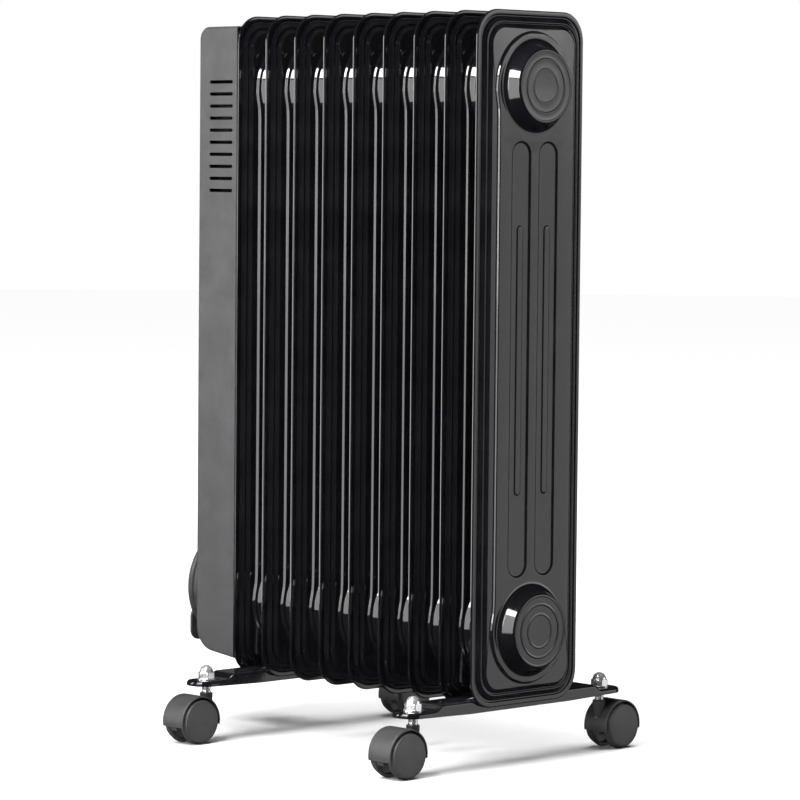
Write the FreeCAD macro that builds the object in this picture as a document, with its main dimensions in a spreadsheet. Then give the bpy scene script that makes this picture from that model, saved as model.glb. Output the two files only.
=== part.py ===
import FreeCAD, Part
import math
import os
import types

import Sketcher
from FreeCAD import Placement, Rotation, Vector

# Oil filled radiator heater: nine pressed steel fins in a row along X, a control housing
# with a cord winder at the -X end, two foot bars across Y and four twin wheel casters.
# Units are millimetres. X runs along the row of fins, Y across it, Z up from the floor.
# The origin is on the floor, in the middle of the space that the heater takes without its cord.

DIMENSIONS = [
    # alias, value, what it is
    ("first_fin_x", -115.5, "mid plane of the first fin"),
    ("ground", 52.0, "lower edge of the fins above the floor"),
    # Fins: two pressed sheets each, welded round the rim
    ("sheet", 0.8, "steel sheet of the fins"),
    ("fin_height", 580.0, "height of a fin"),
    ("fin_width", 128.0, "width of a fin"),
    ("fin_pitch", 36.5, "distance from fin to fin"),
    ("fin_corner", 24.0, "corner radius of a fin"),
    ("rim_half", 1.2, "half thickness of the welded rim"),
    ("border", 15.5, "width of the rim up to the raised panel"),
    ("panel_corner", 15.0, "corner radius of the raised panel"),
    ("panel_half", 4.5, "half thickness at the raised panel"),
    ("stadium_width", 82.0, "width of the raised stadium between the collectors"),
    ("stadium_side", 0.2, "straight part between the two quarter rounds of a stadium's end"),
    ("stadium_half", 7.0, "half thickness at the stadium"),
    ("collector_inset", 62.8, "collector axis from the end of the fin"),
    ("boss_radius", 29.0, "collector boss where it leaves the stadium"),
    ("neck_radius", 23.0, "collector neck between two fins"),
    ("neck_start", 13.25, "start of the neck from the fin's mid plane"),
    # End cups that close the collectors of the last fin
    ("cup_foot_radius", 36.8, "end cup where it meets the stadium"),
    ("cup_side_radius", 35.2, "end cup at the lower end of its side"),
    ("cup_foot_height", 1.2, "curve between the stadium and the end cup's side"),
    ("cup_edge_radius", 31.3, "end cup at the upper end of its side"),
    ("cup_edge_height", 0.9, "rounded edge of the end cup's disc"),
    ("cup_disc_radius", 30.2, "flat disc of the end cup"),
    ("cup_face", 18.9, "disc of the end cup from the fin's mid plane"),
    ("cup_wall", 1.0, "sheet of the end cup"),
    # Closures of the first fin's collectors
    ("flange_radius", 27.0, "flange of the heating element"),
    ("flange_thickness", 4.0, "flange of the heating element"),
    ("closure_radius", 25.0, "closing disc of the upper collector"),
    ("closure_thickness", 3.0, "closing disc of the upper collector"),
    ("element_radius", 4.2, "tube of the heating element"),
    ("element_half_gap", 9.0, "half distance between the element's two legs"),
    ("element_tail", 24.0, "cold end of the element before the first fin"),
    ("element_reach", 240.0, "straight part of the element beyond the first fin"),
    # Control housing
    ("housing_depth", 52.5, "front of the housing from the first fin's mid plane"),
    ("housing_gap", 3.0, "open edge of the housing from the first fin's mid plane"),
    ("housing_width", 124.0, "width of the housing"),
    ("housing_top", 571.0, "top of the housing above the fins' lower edge"),
    ("housing_low_back", 14.0, "lowest edge of the housing beside the fin"),
    ("housing_low_front", 20.0, "lower front corner of the housing before rounding"),
    ("housing_wall", 1.2, "sheet of the housing"),
    ("housing_top_round", 11.0, "upper front rounding"),
    ("housing_low_round", 22.0, "lower front rounding"),
    ("housing_edge_round", 2.2, "rounding of the long front edges"),
    ("vent_length", 30.0, "length of a vent slot"),
    ("vent_height", 3.0, "height of a vent slot"),
    ("vent_round", 1.35, "rounded ends of a vent slot"),
    ("vent_pitch", 10.6, "distance from slot to slot"),
    ("vent_back", 8.2, "end of the slots from the first fin's mid plane"),
    ("vent_low", 427.0, "lowest slot above the fins' lower edge"),
    # Mounting plate behind the housing
    ("plate_thickness", 1.2, "sheet of the mounting plate"),
    ("plate_width", 116.0, "width of the mounting plate"),
    ("plate_low", 22.0, "lower edge of the plate above the fins' lower edge"),
    ("tab_reach", 20.0, "tab at the top of the plate"),
    ("tab_width", 60.0, "tab at the top of the plate"),
    ("plate_hole", 30.2, "holes of the plate round the collector bosses"),
    ("top_screw_spread", 20.0, "housing screws on each side of the middle"),
    ("top_screw_x", 18.0, "housing screws from the first fin's mid plane"),
    ("screw_radius", 1.6, "shank of the housing screws"),
    ("screw_head_radius", 3.5, "head of the housing screws"),
    ("screw_head_height", 2.2, "head of the housing screws"),
    ("screw_rim_height", 0.9, "straight rim of a screw's head"),
    ("screw_crown_radius", 2.4, "flat crown of a screw's head"),
    ("screw_crown_height", 1.9, "flat crown of a screw's head"),
    ("screw_length", 9.0, "shank of the housing screws"),
    # Controls on the front of the housing
    ("fascia_width", 100.0, "width of the control panel"),
    ("fascia_height", 215.0, "height of the control panel"),
    ("fascia_middle", 497.5, "middle of the control panel above the floor"),
    ("fascia_thickness", 2.5, "thickness of the control panel"),
    ("fascia_corner", 12.0, "corner radius of the control panel"),
    ("fascia_edge_round", 1.2, "rounded front edge of the control panel"),
    ("fascia_clearance", 0.5, "control panel's holes round the spindles"),
    ("thermostat_height", 545.0, "thermostat axis above the floor"),
    ("selector_height", 448.0, "selector axis above the floor"),
    ("lamp_height", 497.0, "pilot lamp above the floor"),
    ("thermostat_knob_radius", 24.0, "grip of the thermostat knob"),
    ("selector_knob_radius", 19.0, "grip of the selector knob"),
    ("knob_gap", 0.6, "knob to control panel"),
    ("knob_depth", 18.0, "height of a knob"),
    ("knob_skirt", 2.5, "skirt of a knob beyond its grip"),
    ("knob_skirt_height", 3.0, "height of a knob's skirt"),
    ("knob_draft", 2.0, "taper of a knob's grip"),
    ("knob_edge", 1.5, "edge of a knob's face"),
    ("pointer_width", 5.0, "pointer ridge of a knob"),
    ("pointer_corner", 1.5, "corner radius of the pointer ridge"),
    ("pointer_rise", 1.6, "pointer ridge above a knob's face"),
    ("spindle_radius", 3.0, "control spindles"),
    ("spindle_clearance", 0.05, "spindle in its bearing"),
    ("spindle_hole", 5.0, "holes of the housing round the spindles"),
    ("spindle_inner", 14.0, "spindle behind the housing's front"),
    ("spindle_outer", 14.0, "spindle before the housing's front"),
    ("lamp_radius", 4.0, "pilot lamp"),
    ("lamp_depth", 10.0, "pilot lamp behind the housing's front"),
    ("lamp_stem_radius", 3.2, "pilot lamp behind the housing's front"),
    ("lamp_rise", 2.0, "pilot lamp's dome before the control panel"),
    ("lamp_shoulder", 1.4, "shoulder of the dome before the control panel"),
    ("lamp_edge", 0.8, "shoulder of the dome from the lamp's edge"),
    ("thermostat_width", 34.0, "body of the thermostat"),
    ("thermostat_depth", 24.0, "body of the thermostat"),
    ("selector_width", 28.0, "body of the selector switch"),
    ("selector_depth", 22.0, "body of the selector switch"),
    # Safety parts on the mounting plate
    ("cutout_size", 8.0, "radius and height of the thermal cut-out"),
    ("cutout_side", 34.0, "thermal cut-out from the middle"),
    ("cutout_level", 150.0, "thermal cut-out above the fins' lower edge"),
    ("tip_switch_depth", 18.0, "tip-over switch off the plate"),
    ("tip_switch_width", 24.0, "tip-over switch across the plate"),
    ("tip_switch_height", 34.0, "height of the tip-over switch"),
    ("tip_switch_level", 350.0, "foot of the tip-over switch above the fins' lower edge"),
    ("terminal_depth", 14.0, "terminal block off the plate"),
    ("terminal_width", 44.0, "terminal block across the plate"),
    ("terminal_height", 18.0, "height of the terminal block"),
    ("terminal_level", 240.0, "foot of the terminal block above the fins' lower edge"),
    # Cord winder, cord and plug
    ("winder_height", 123.0, "middle of the winder above the floor"),
    ("hub_radius", 31.4, "hub of the winder"),
    ("hub_wall", 2.4, "wall of the hub"),
    ("lip_gap", 24.4, "front plate of the winder from the housing"),
    ("lip_thickness", 3.0, "front plate of the winder"),
    ("lip_corner", 9.0, "corner radius of the front plate's lips"),
    ("disc_margin", 1.5, "front plate's disc beyond the hub"),
    ("lower_lip_width", 90.0, "wide lip below the hub"),
    ("lower_lip_height", 30.0, "wide lip below the hub"),
    ("lower_lip_middle", -34.0, "middle of the wide lip above the winder's middle"),
    ("upper_lip_width", 44.0, "narrow lip above the hub"),
    ("upper_lip_height", 50.0, "narrow lip above the hub"),
    ("upper_lip_middle", 30.0, "middle of the narrow lip above the winder's middle"),
    ("cord_radius", 3.3, "mains cord"),
    ("turn_inner", 35.0, "innermost turns of the wound cord, at the cord's middle"),
    ("turn_outer", 49.0, "outermost turns of the wound cord, at the cord's middle"),
    ("cord_stand_off", 6.5, "cord's middle from the housing where it leaves the gland"),
    ("coil_back", 3.2, "back of the wound cord from the housing"),
    ("coil_front", 23.8, "front of the wound cord from the housing"),
    ("gland_low", 100.0, "lower end of the gland's block above the winder's middle"),
    ("gland_height", 25.0, "gland's block"),
    ("gland_width", 16.0, "gland's block"),
    ("gland_corner", 4.0, "corner radius of the gland's block"),
    ("gland_spigot", 8.0, "gland's spigot in the housing's front"),
    ("boot_length", 28.0, "strain relief below the gland's block"),
    ("boot_radius", 5.6, "strain relief where it begins"),
    ("boot_tip_radius", 4.3, "strain relief where the cord leaves it"),
    ("lead_in_end", 30.0, "lower end of the straight cord above the winder's middle"),
    ("plug_shift", -4.0, "plug's middle across the winder"),
    ("plug_drop", -15.0, "plug's middle above the winder's middle"),
    ("plug_radius", 18.5, "body of the plug"),
    ("plug_thickness", 17.0, "body of the plug"),
    ("plug_chamfer", 1.5, "chamfer of the plug's back"),
    ("plug_crown", 4.0, "start of the plug's rounded front from its outer face"),
    ("plug_crown_border", 5.0, "rounded border of the plug's outer face"),
    ("plug_crown_width", 2.0, "outer facet of the rounded border"),
    ("plug_crown_height", 1.2, "inner facet of the rounded border"),
    ("plug_reach", 39.5, "end of the plug's cord sleeve from its middle"),
    ("sleeve_start", 12.0, "start of the plug's cord sleeve from its middle"),
    ("sleeve_radius", 7.6, "plug's cord sleeve where it begins"),
    ("sleeve_tip_radius", 4.4, "plug's cord sleeve where the cord enters it"),
    ("pin_radius", 2.4, "pins of the plug"),
    ("pin_length", 19.0, "pins of the plug"),
    ("pin_half_gap", 9.5, "half distance between the pins"),
    ("pin_clearance", 0.2, "winder's holes round the pins"),
    # Foot bars
    ("bar_offset", 1.5, "middle of a foot bar from the middle between two fins"),
    ("bar_length", 262.0, "length of a foot bar"),
    ("bar_width", 28.0, "width of a foot bar"),
    ("bar_end_radius", 13.0, "rounded ends of a foot bar"),
    ("bar_sheet", 2.0, "sheet of a foot bar"),
    ("bar_low", 48.0, "lower edge of a foot bar's flanges above the floor"),
    ("bar_pad", 54.2, "top of a foot bar's end pads above the floor"),
    ("bar_top", 59.2, "top of a foot bar's raised middle above the floor"),
    ("bar_step_inner", 92.0, "start of the slope down to the end pad"),
    ("bar_step_outer", 100.0, "end of the slope down to the end pad"),
    ("bar_taper_start", 60.0, "start of the flange's rise towards the tip"),
    ("bar_tip_rise", 1.8, "rise of the flange's edge at the tip"),
    ("bolt_wire", 2.5, "radius of the U-bolt's wire"),
    ("bolt_inner", 23.3, "inner radius of the U-bolt"),
    ("bolt_end", 49.5, "lower ends of the U-bolt above the floor"),
    ("bolt_hole", 2.8, "holes of the bar for the U-bolt"),
    ("wing_hub_radius", 4.6, "hub of a wing nut"),
    ("wing_hub_height", 6.0, "hub of a wing nut"),
    ("wing_span", 22.0, "wings of a wing nut"),
    ("wing_height", 6.5, "wings of a wing nut"),
    ("wing_thickness", 2.4, "wings of a wing nut"),
    ("wing_drop", 0.5, "wings below the top of their hub"),
    # Casters
    ("stem_spread", 113.5, "caster stems from the middle, along Y"),
    ("stem_radius", 3.9, "caster stem"),
    ("stem_hole", 4.1, "holes of the bar for the stems"),
    ("stem_foot", 25.0, "lower end of the stem above the floor"),
    ("stem_top", 62.0, "upper end of the stem above the floor"),
    ("stem_clearance", 0.05, "stem in the hood's socket"),
    ("stem_end_gap", 0.5, "stem's lower end from the bottom of its socket"),
    ("collar_margin", 1.7, "collar of the stem below the bar, beyond the stem"),
    ("collar_height", 2.0, "collar of the stem below the bar"),
    ("washer_radius", 8.0, "washer below the cap nut"),
    ("washer_thickness", 1.2, "washer below the cap nut"),
    ("nut_flats", 13.0, "cap nut across flats"),
    ("nut_hex_height", 5.5, "hexagon of the cap nut"),
    ("nut_dome", 5.9, "radius of the cap nut's dome"),
    ("wheel_radius", 20.0, "caster wheel"),
    ("wheel_trail", 17.0, "axle behind the stem"),
    ("wheel_inner", 7.2, "inner face of a wheel from the hood's middle"),
    ("wheel_outer", 15.4, "outer face of a wheel from the hood's middle"),
    ("wheel_wall", 3.0, "rim of a wheel"),
    ("wheel_face_wall", 3.2, "face of a wheel"),
    ("wheel_hub_wall", 2.6, "hub of a wheel"),
    ("wheel_hub_reach", 0.2, "hub of a wheel beyond its inner face"),
    ("wheel_chamfer", 0.8, "inner edge of a wheel's rim"),
    ("wheel_crown", 6.0, "curved border of a wheel's face"),
    ("wheel_crown_fall", 0.3, "rise of a wheel's face inside its curved border"),
    ("wheel_edge", 1.3, "outer edge of a wheel's face"),
    ("wheel_edge_fall", 0.9, "wheel's face to the start of its outer edge"),
    ("wheel_edge_end", 1.9, "wheel's face to the end of its outer edge"),
    ("axle_radius", 2.0, "wheel axle"),
    ("axle_half", 12.0, "half length of the axle"),
    ("axle_clearance", 0.05, "axle in the wheel"),
    ("axle_end_gap", 0.4, "axle's end from the bottom of its bore"),
    ("hood_radius", 22.2, "outside of the hood"),
    ("hood_inner", 20.9, "inside of the hood"),
    ("hood_half", 13.0, "half width of the hood"),
    ("hood_low", 16.0, "lower edge of the hood above the floor"),
    ("web_half", 4.0, "half thickness of the hood's middle web"),
    ("web_low", 12.0, "lower edge of the middle web above the floor"),
    ("boss_wall", 3.0, "hood's boss round the axle"),
    ("boss_gap", 0.6, "hood's boss from a wheel"),
    ("socket_radius", 5.6, "socket of the hood round the stem"),
    ("socket_top", 43.0, "top of the socket above the floor"),
    ("socket_floor", 3.0, "floor of the socket below the stem"),
]

FIN_COUNT = 9
VENT_COUNT = 10
OVERLAP = 0.5      # solids that are joined run into each other this far
BEYOND = 2.0       # a cutting tool reaches this far past what it cuts
NEAR = 0.01        # places closer than this are one place
BEND_SHARE = 0.45  # part of the shorter run beside a bend that the bend may take
AXIS_X = Rotation(Vector(0, 1, 0), 90)
AXIS_Y = Rotation(Vector(1, 0, 0), -90)
HALF_TURN = Rotation(Vector(0, 0, 1), 180)
XYZ_TO_YZX = Rotation(Vector(1, 1, 1), 120)
XYZ_TO_ZXY = Rotation(Vector(1, 1, 1), 240)


class Size:
    """A length together with the spreadsheet expression that gives it."""

    def __init__(self, value, text):
        self.value = float(value)
        self.text = text

    def joined(self, other, sign, value):
        return Size(value, f"({self.text} {sign} {size_of(other).text})")

    def __add__(self, other):
        return self.joined(other, "+", self.value + size_of(other).value)

    def __sub__(self, other):
        return self.joined(other, "-", self.value - size_of(other).value)

    def __mul__(self, other):
        return self.joined(other, "*", self.value * size_of(other).value)

    def __truediv__(self, other):
        return self.joined(other, "/", self.value / size_of(other).value)

    def __radd__(self, other):
        return size_of(other) + self

    def __rsub__(self, other):
        return size_of(other) - self

    def __rmul__(self, other):
        return size_of(other) * self

    def __neg__(self):
        return size_of(0) - self


def size_of(number):
    return number if isinstance(number, Size) else Size(number, f"({float(number)})")


doc = FreeCAD.newDocument("oil_radiator_heater")
sheet = doc.addObject("Spreadsheet::Sheet", "dims")
for row, (alias, value, note) in enumerate(DIMENSIONS, start=1):
    sheet.set(f"A{row}", note)
    sheet.set(f"B{row}", str(value))
    sheet.setAlias(f"B{row}", alias)
doc.recompute()
d = types.SimpleNamespace(**{alias: Size(value, f"dims.{alias}") for alias, value, note in DIMENSIONS})

# Levels and places that several pieces share
low_collector = d.collector_inset
high_collector = d.fin_height - d.collector_inset
face_x = d.first_fin_x - d.housing_depth
half_gap_between_fins = d.fin_pitch / 2
near_bar_x = d.first_fin_x + d.fin_pitch / 2 + d.bar_offset
far_bar_x = d.first_fin_x + d.fin_pitch * (FIN_COUNT - 1.5) + d.bar_offset

subparts = []


# ---------------------------------------------------------------- building blocks

def bind(thing, **sizes):
    """Binds properties to the sheet; a double underscore in a name stands for a dot."""
    for name, size in sizes.items():
        thing.setExpression(name.replace("__", "."), size_of(size).text)
    return thing


def put(thing, x=0, y=0, z=0, rotation=None):
    if rotation:
        thing.Placement = Placement(Vector(0, 0, 0), rotation)
    return bind(thing, Placement__Base__x=x, Placement__Base__y=y, Placement__Base__z=z)


def keep(thing, label):
    """Names a finished sub-part and lists it for export."""
    thing.Label = label
    subparts.append(thing)
    return thing


def new_body():
    return doc.addObject("PartDesign::Body", "body")


def sketch_on(body, role, lift=0, along=0):
    """A sketch on one of the body's own planes, lifted off it and shifted along its second axis."""
    sketch = body.newObject("Sketcher::SketchObject", "sketch")
    plane = next(feature for feature in body.Origin.OriginFeatures if feature.Role == role)
    sketch.AttachmentSupport = [(plane, "")]
    sketch.MapMode = "FlatFace"
    bind(sketch, AttachmentOffset__Base__z=lift, AttachmentOffset__Base__y=along)
    return sketch


def constrain(sketch, kind, *refs, size):
    index = sketch.addConstraint(Sketcher.Constraint(kind, *refs, size.value))
    sketch.setExpression(f"Constraints[{index}]", size.text)


def pin(sketch, geometry, point, u, v):
    """Holds a point at (u, v) from the sketch's origin."""
    for kind, axis, size in (("DistanceX", -2, size_of(u)), ("DistanceY", -1, size_of(v))):
        if abs(size.value) < 1e-9:
            sketch.addConstraint(Sketcher.Constraint("PointOnObject", geometry, point, axis))
        else:
            constrain(sketch, kind, -1, 1, geometry, point, size=size)


def draw_polygon(sketch, corners):
    corners = [(size_of(u), size_of(v)) for u, v in corners]
    vectors = [Vector(u.value, v.value, 0) for u, v in corners]
    count = len(corners)
    lines = [sketch.addGeometry(Part.LineSegment(vectors[i], vectors[(i + 1) % count])) for i in range(count)]
    for i, line in enumerate(lines):
        sketch.addConstraint(Sketcher.Constraint("Coincident", line, 2, lines[(i + 1) % count], 1))
        pin(sketch, line, 1, *corners[i])


def draw_circle(sketch, radius, u=0, v=0):
    radius, u, v = size_of(radius), size_of(u), size_of(v)
    circle = sketch.addGeometry(Part.Circle(Vector(u.value, v.value, 0), Vector(0, 0, 1), radius.value))
    constrain(sketch, "Radius", circle, size=radius)
    pin(sketch, circle, 3, u, v)


def draw_rounded(sketch, width, height, radius, u=0, v=0):
    """A rectangle with rounded corners, its middle at (u, v)."""
    width, height, radius, u, v = (size_of(item) for item in (width, height, radius, u, v))
    centres = [(u + (width / 2 - radius) * i, v + (height / 2 - radius) * j)
               for i, j in ((1, 1), (-1, 1), (-1, -1), (1, -1))]
    arcs = []
    for quarter, (cu, cv) in enumerate(centres):
        circle = Part.Circle(Vector(cu.value, cv.value, 0), Vector(0, 0, 1), radius.value)
        start = quarter * math.pi / 2
        arcs.append(sketch.addGeometry(Part.ArcOfCircle(circle, start, start + math.pi / 2)))
    for quarter, arc in enumerate(arcs):
        after = arcs[(quarter + 1) % 4]
        ends = sketch.getPoint(arc, 2), sketch.getPoint(after, 1)
        side = sketch.addGeometry(Part.LineSegment(*ends))
        sketch.addConstraint(Sketcher.Constraint("Tangent", arc, 2, side, 1))
        sketch.addConstraint(Sketcher.Constraint("Tangent", side, 2, after, 1))
    for arc, (cu, cv) in zip(arcs, centres):
        pin(sketch, arc, 3, cu, cv)
    constrain(sketch, "Radius", arcs[0], size=radius)
    for arc in arcs[1:]:
        sketch.addConstraint(Sketcher.Constraint("Equal", arcs[0], arc))


def pad(sketch, length, both_ways=False, reverse=False, kind="Pad"):
    """A Pad, or a Pocket, of a sketch; both_ways is half the length to each side of the sketch."""
    feature = sketch.getParentGeoFeatureGroup().newObject(f"PartDesign::{kind}", kind.lower())
    feature.Profile = sketch
    feature.Midplane = both_ways
    feature.Reversed = reverse
    return bind(feature, Length=length)


def pocket(sketch, length, both_ways=False, reverse=False):
    return pad(sketch, length, both_ways, reverse, kind="Pocket")


def revolve(sketch, axis="H_Axis", kind="Revolution"):
    feature = sketch.getParentGeoFeatureGroup().newObject(f"PartDesign::{kind}", kind.lower())
    feature.Profile = sketch
    feature.ReferenceAxis = (sketch, [axis])
    feature.Angle = 360
    return feature


def turned(profile, axis="V_Axis"):
    """A body turned about Z from (radius, height) points, or about X from (x, radius) points."""
    body = new_body()
    sketch = sketch_on(body, "XZ_Plane")
    draw_polygon(sketch, profile)
    revolve(sketch, axis)
    return body


def round_edges(body, radius, chosen):
    """Rounds the edges of the body's last feature for which chosen(edge) is true."""
    doc.recompute()
    base = body.Tip
    names = [f"Edge{i}" for i, edge in enumerate(base.Shape.Edges, start=1) if chosen(edge)]
    fillet = body.newObject("PartDesign::Fillet", "fillet")
    fillet.Base = (base, names)
    bind(fillet, Radius=radius)
    doc.recompute()


def box(length, width, height, x=0, y=0, z=0):
    """A box with its lowest corner at (x, y, z)."""
    solid = bind(doc.addObject("Part::Box", "box"), Length=length, Width=width, Height=height)
    return put(solid, x, y, z)


def cylinder(radius, height, x=0, y=0, z=0, rotation=None):
    solid = bind(doc.addObject("Part::Cylinder", "cylinder"), Radius=radius, Height=height)
    return put(solid, x, y, z, rotation)


def cone(radius_low, radius_high, height, x=0, y=0, z=0, rotation=None):
    solid = bind(doc.addObject("Part::Cone", "cone"), Radius1=radius_low, Radius2=radius_high, Height=height)
    return put(solid, x, y, z, rotation)


def half_ring(ring_radius, wire_radius, x=0, y=0, z=0, rotation=None):
    solid = bind(doc.addObject("Part::Torus", "half_ring"), Radius1=ring_radius, Radius2=wire_radius)
    solid.Angle3 = 180
    return put(solid, x, y, z, rotation)


def fused(*solids):
    joined = doc.addObject("Part::MultiFuse", "fused")
    joined.Shapes = list(solids)
    return joined


def cut(base, *tools):
    result = doc.addObject("Part::Cut", "cut")
    result.Base = base
    result.Tool = tools[0] if len(tools) == 1 else fused(*tools)
    return result


def group(*solids):
    """Separate solids that share one node."""
    together = doc.addObject("Part::Compound", "group")
    together.Links = list(solids)
    return together


# ---------------------------------------------------------------- oil vessel

def neck_profile(inset, low_side, high_side):
    """Half outline of a collector through one fin; a side is the neck's end, or None for no neck."""
    neck, boss = d.neck_radius - inset, d.boss_radius - inset
    slope = inset / 2
    outline = []
    if low_side is None:
        outline += [(-d.stadium_half + inset, 0), (-d.stadium_half + inset, boss)]
    else:
        outline += [(-low_side, 0), (-low_side, neck)]
        if low_side is half_gap_between_fins:
            outline += [(-d.neck_start - slope, neck)]
        outline += [(-d.stadium_half - slope, boss)]
    if high_side is None:
        outline += [(d.stadium_half, neck), (d.stadium_half, 0)]
    else:
        outline += [(d.stadium_half + slope, boss), (d.neck_start + slope, neck)]
        outline += [(high_side, neck), (high_side, 0)]
    return outline


def make_fin(number):
    """A hollow fin: welded rim, raised panel, stadium, and a collector neck to each neighbour."""
    body = new_body()
    low_side = d.neck_start if number == 1 else half_gap_between_fins
    high_side = None if number == FIN_COUNT else half_gap_between_fins
    middle = d.fin_height / 2
    panel_width = d.fin_width - d.border * 2
    panel_height = d.fin_height - d.border * 2
    stadium_height = d.fin_height - d.collector_inset * 2 + d.stadium_width
    stadium_round = (d.stadium_width - d.stadium_side) / 2

    def layer(width, height, radius, half, make):
        sketch = sketch_on(body, "YZ_Plane")
        draw_rounded(sketch, width, height, radius, 0, middle)
        make(sketch, half * 2, both_ways=True)

    def collectors(inset, kind):
        for height in (low_collector, high_collector):
            sketch = sketch_on(body, "XZ_Plane", along=height)
            draw_polygon(sketch, neck_profile(inset, low_side, high_side))
            revolve(sketch, kind=kind)

    layer(d.fin_width, d.fin_height, d.fin_corner, d.rim_half, pad)
    layer(panel_width, panel_height, d.panel_corner, d.panel_half, pad)
    layer(d.stadium_width, stadium_height, stadium_round, d.stadium_half, pad)
    collectors(0, "Revolution")
    skin = d.sheet
    layer(panel_width - skin * 2, panel_height - skin * 2, d.panel_corner - skin, d.panel_half - skin, pocket)
    layer(d.stadium_width - skin * 2, stadium_height - skin * 2, stadium_round - skin,
          d.stadium_half - skin, pocket)
    collectors(skin, "Groove")
    put(body, d.first_fin_x + d.fin_pitch * (number - 1), 0, d.ground)
    keep(body, f"fin_{number}")


def make_end_cup(label, height):
    """A pressed cup that closes a collector on the last fin."""
    wall = d.cup_wall
    foot, face = d.stadium_half, d.cup_face
    outside = [(foot, d.cup_foot_radius), (foot + d.cup_foot_height, d.cup_side_radius),
               (face - d.cup_edge_height, d.cup_edge_radius), (face, d.cup_disc_radius), (face, 0)]
    inside = [(face - wall, 0), (face - wall, d.cup_disc_radius - wall),
              (face - d.cup_edge_height - wall, d.cup_edge_radius - wall),
              (foot + d.cup_foot_height, d.cup_side_radius - wall), (foot, d.cup_foot_radius - wall)]
    profile = outside + inside
    cup = turned(profile, "H_Axis")
    put(cup, d.first_fin_x + d.fin_pitch * (FIN_COUNT - 1), 0, d.ground + height)
    keep(cup, label)


def make_heating_element():
    """A hairpin tube that runs through the lower collectors."""
    start = d.first_fin_x - d.element_tail
    length = d.element_tail + d.element_reach
    height = d.ground + low_collector
    legs = [cylinder(d.element_radius, length, start, 0, height + d.element_half_gap * side, AXIS_X)
            for side in (-1, 1)]
    bend = half_ring(d.element_half_gap, d.element_radius, start + length, 0, height, XYZ_TO_ZXY)
    keep(fused(*legs, bend), "heating_element")


def make_element_flange():
    x = d.first_fin_x - d.neck_start - d.flange_thickness
    height = d.ground + low_collector
    disc = cylinder(d.flange_radius, d.flange_thickness, x, 0, height, AXIS_X)
    holes = [cylinder(d.element_radius, d.flange_thickness + BEYOND * 2, x - BEYOND, 0,
                      height + d.element_half_gap * side, AXIS_X) for side in (-1, 1)]
    keep(cut(disc, *holes), "element_flange")


def make_collector_closure():
    x = d.first_fin_x - d.neck_start - d.closure_thickness
    disc = cylinder(d.closure_radius, d.closure_thickness, x, 0, d.ground + high_collector, AXIS_X)
    keep(disc, "collector_closure")


# ---------------------------------------------------------------- control housing

def make_mounting_plate():
    """A sheet on the first fin, with a tab at the top that the housing is screwed to."""
    top = d.ground + d.housing_top - d.housing_wall
    back = d.first_fin_x - d.stadium_half
    bottom = d.ground + d.plate_low
    plate = box(d.plate_thickness, d.plate_width, top - bottom, back - d.plate_thickness,
                -d.plate_width / 2, bottom)
    tab = box(d.tab_reach, d.tab_width, d.plate_thickness, back - d.tab_reach, -d.tab_width / 2,
              top - d.plate_thickness)
    boss_holes = [cylinder(d.plate_hole, d.plate_thickness + BEYOND * 2, back - d.plate_thickness - BEYOND, 0,
                           d.ground + height, AXIS_X) for height in (low_collector, high_collector)]
    screw_holes = [cylinder(d.screw_radius, d.screw_length, d.first_fin_x - d.top_screw_x,
                            d.top_screw_spread * side, top - d.screw_length / 2) for side in (-1, 1)]
    keep(cut(fused(plate, tab), *boss_holes, *screw_holes), "mounting_plate")


def edges_at(x):
    """A test for the edges that lie at one x."""
    return lambda edge: all(abs(vertex.Point.x - x.value) < NEAR for vertex in edge.Vertexes)


def corner_edges(x, heights, half_width):
    """A test for the edges along Y at one x and one of the given heights."""
    def chosen(edge):
        ends = [vertex.Point for vertex in edge.Vertexes]
        return (len(ends) == 2 and abs(ends[0].y - ends[1].y) > half_width
                and all(abs(end.x - x) < NEAR for end in ends)
                and any(abs(ends[0].z - height) < NEAR for height in heights))
    return chosen


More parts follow.
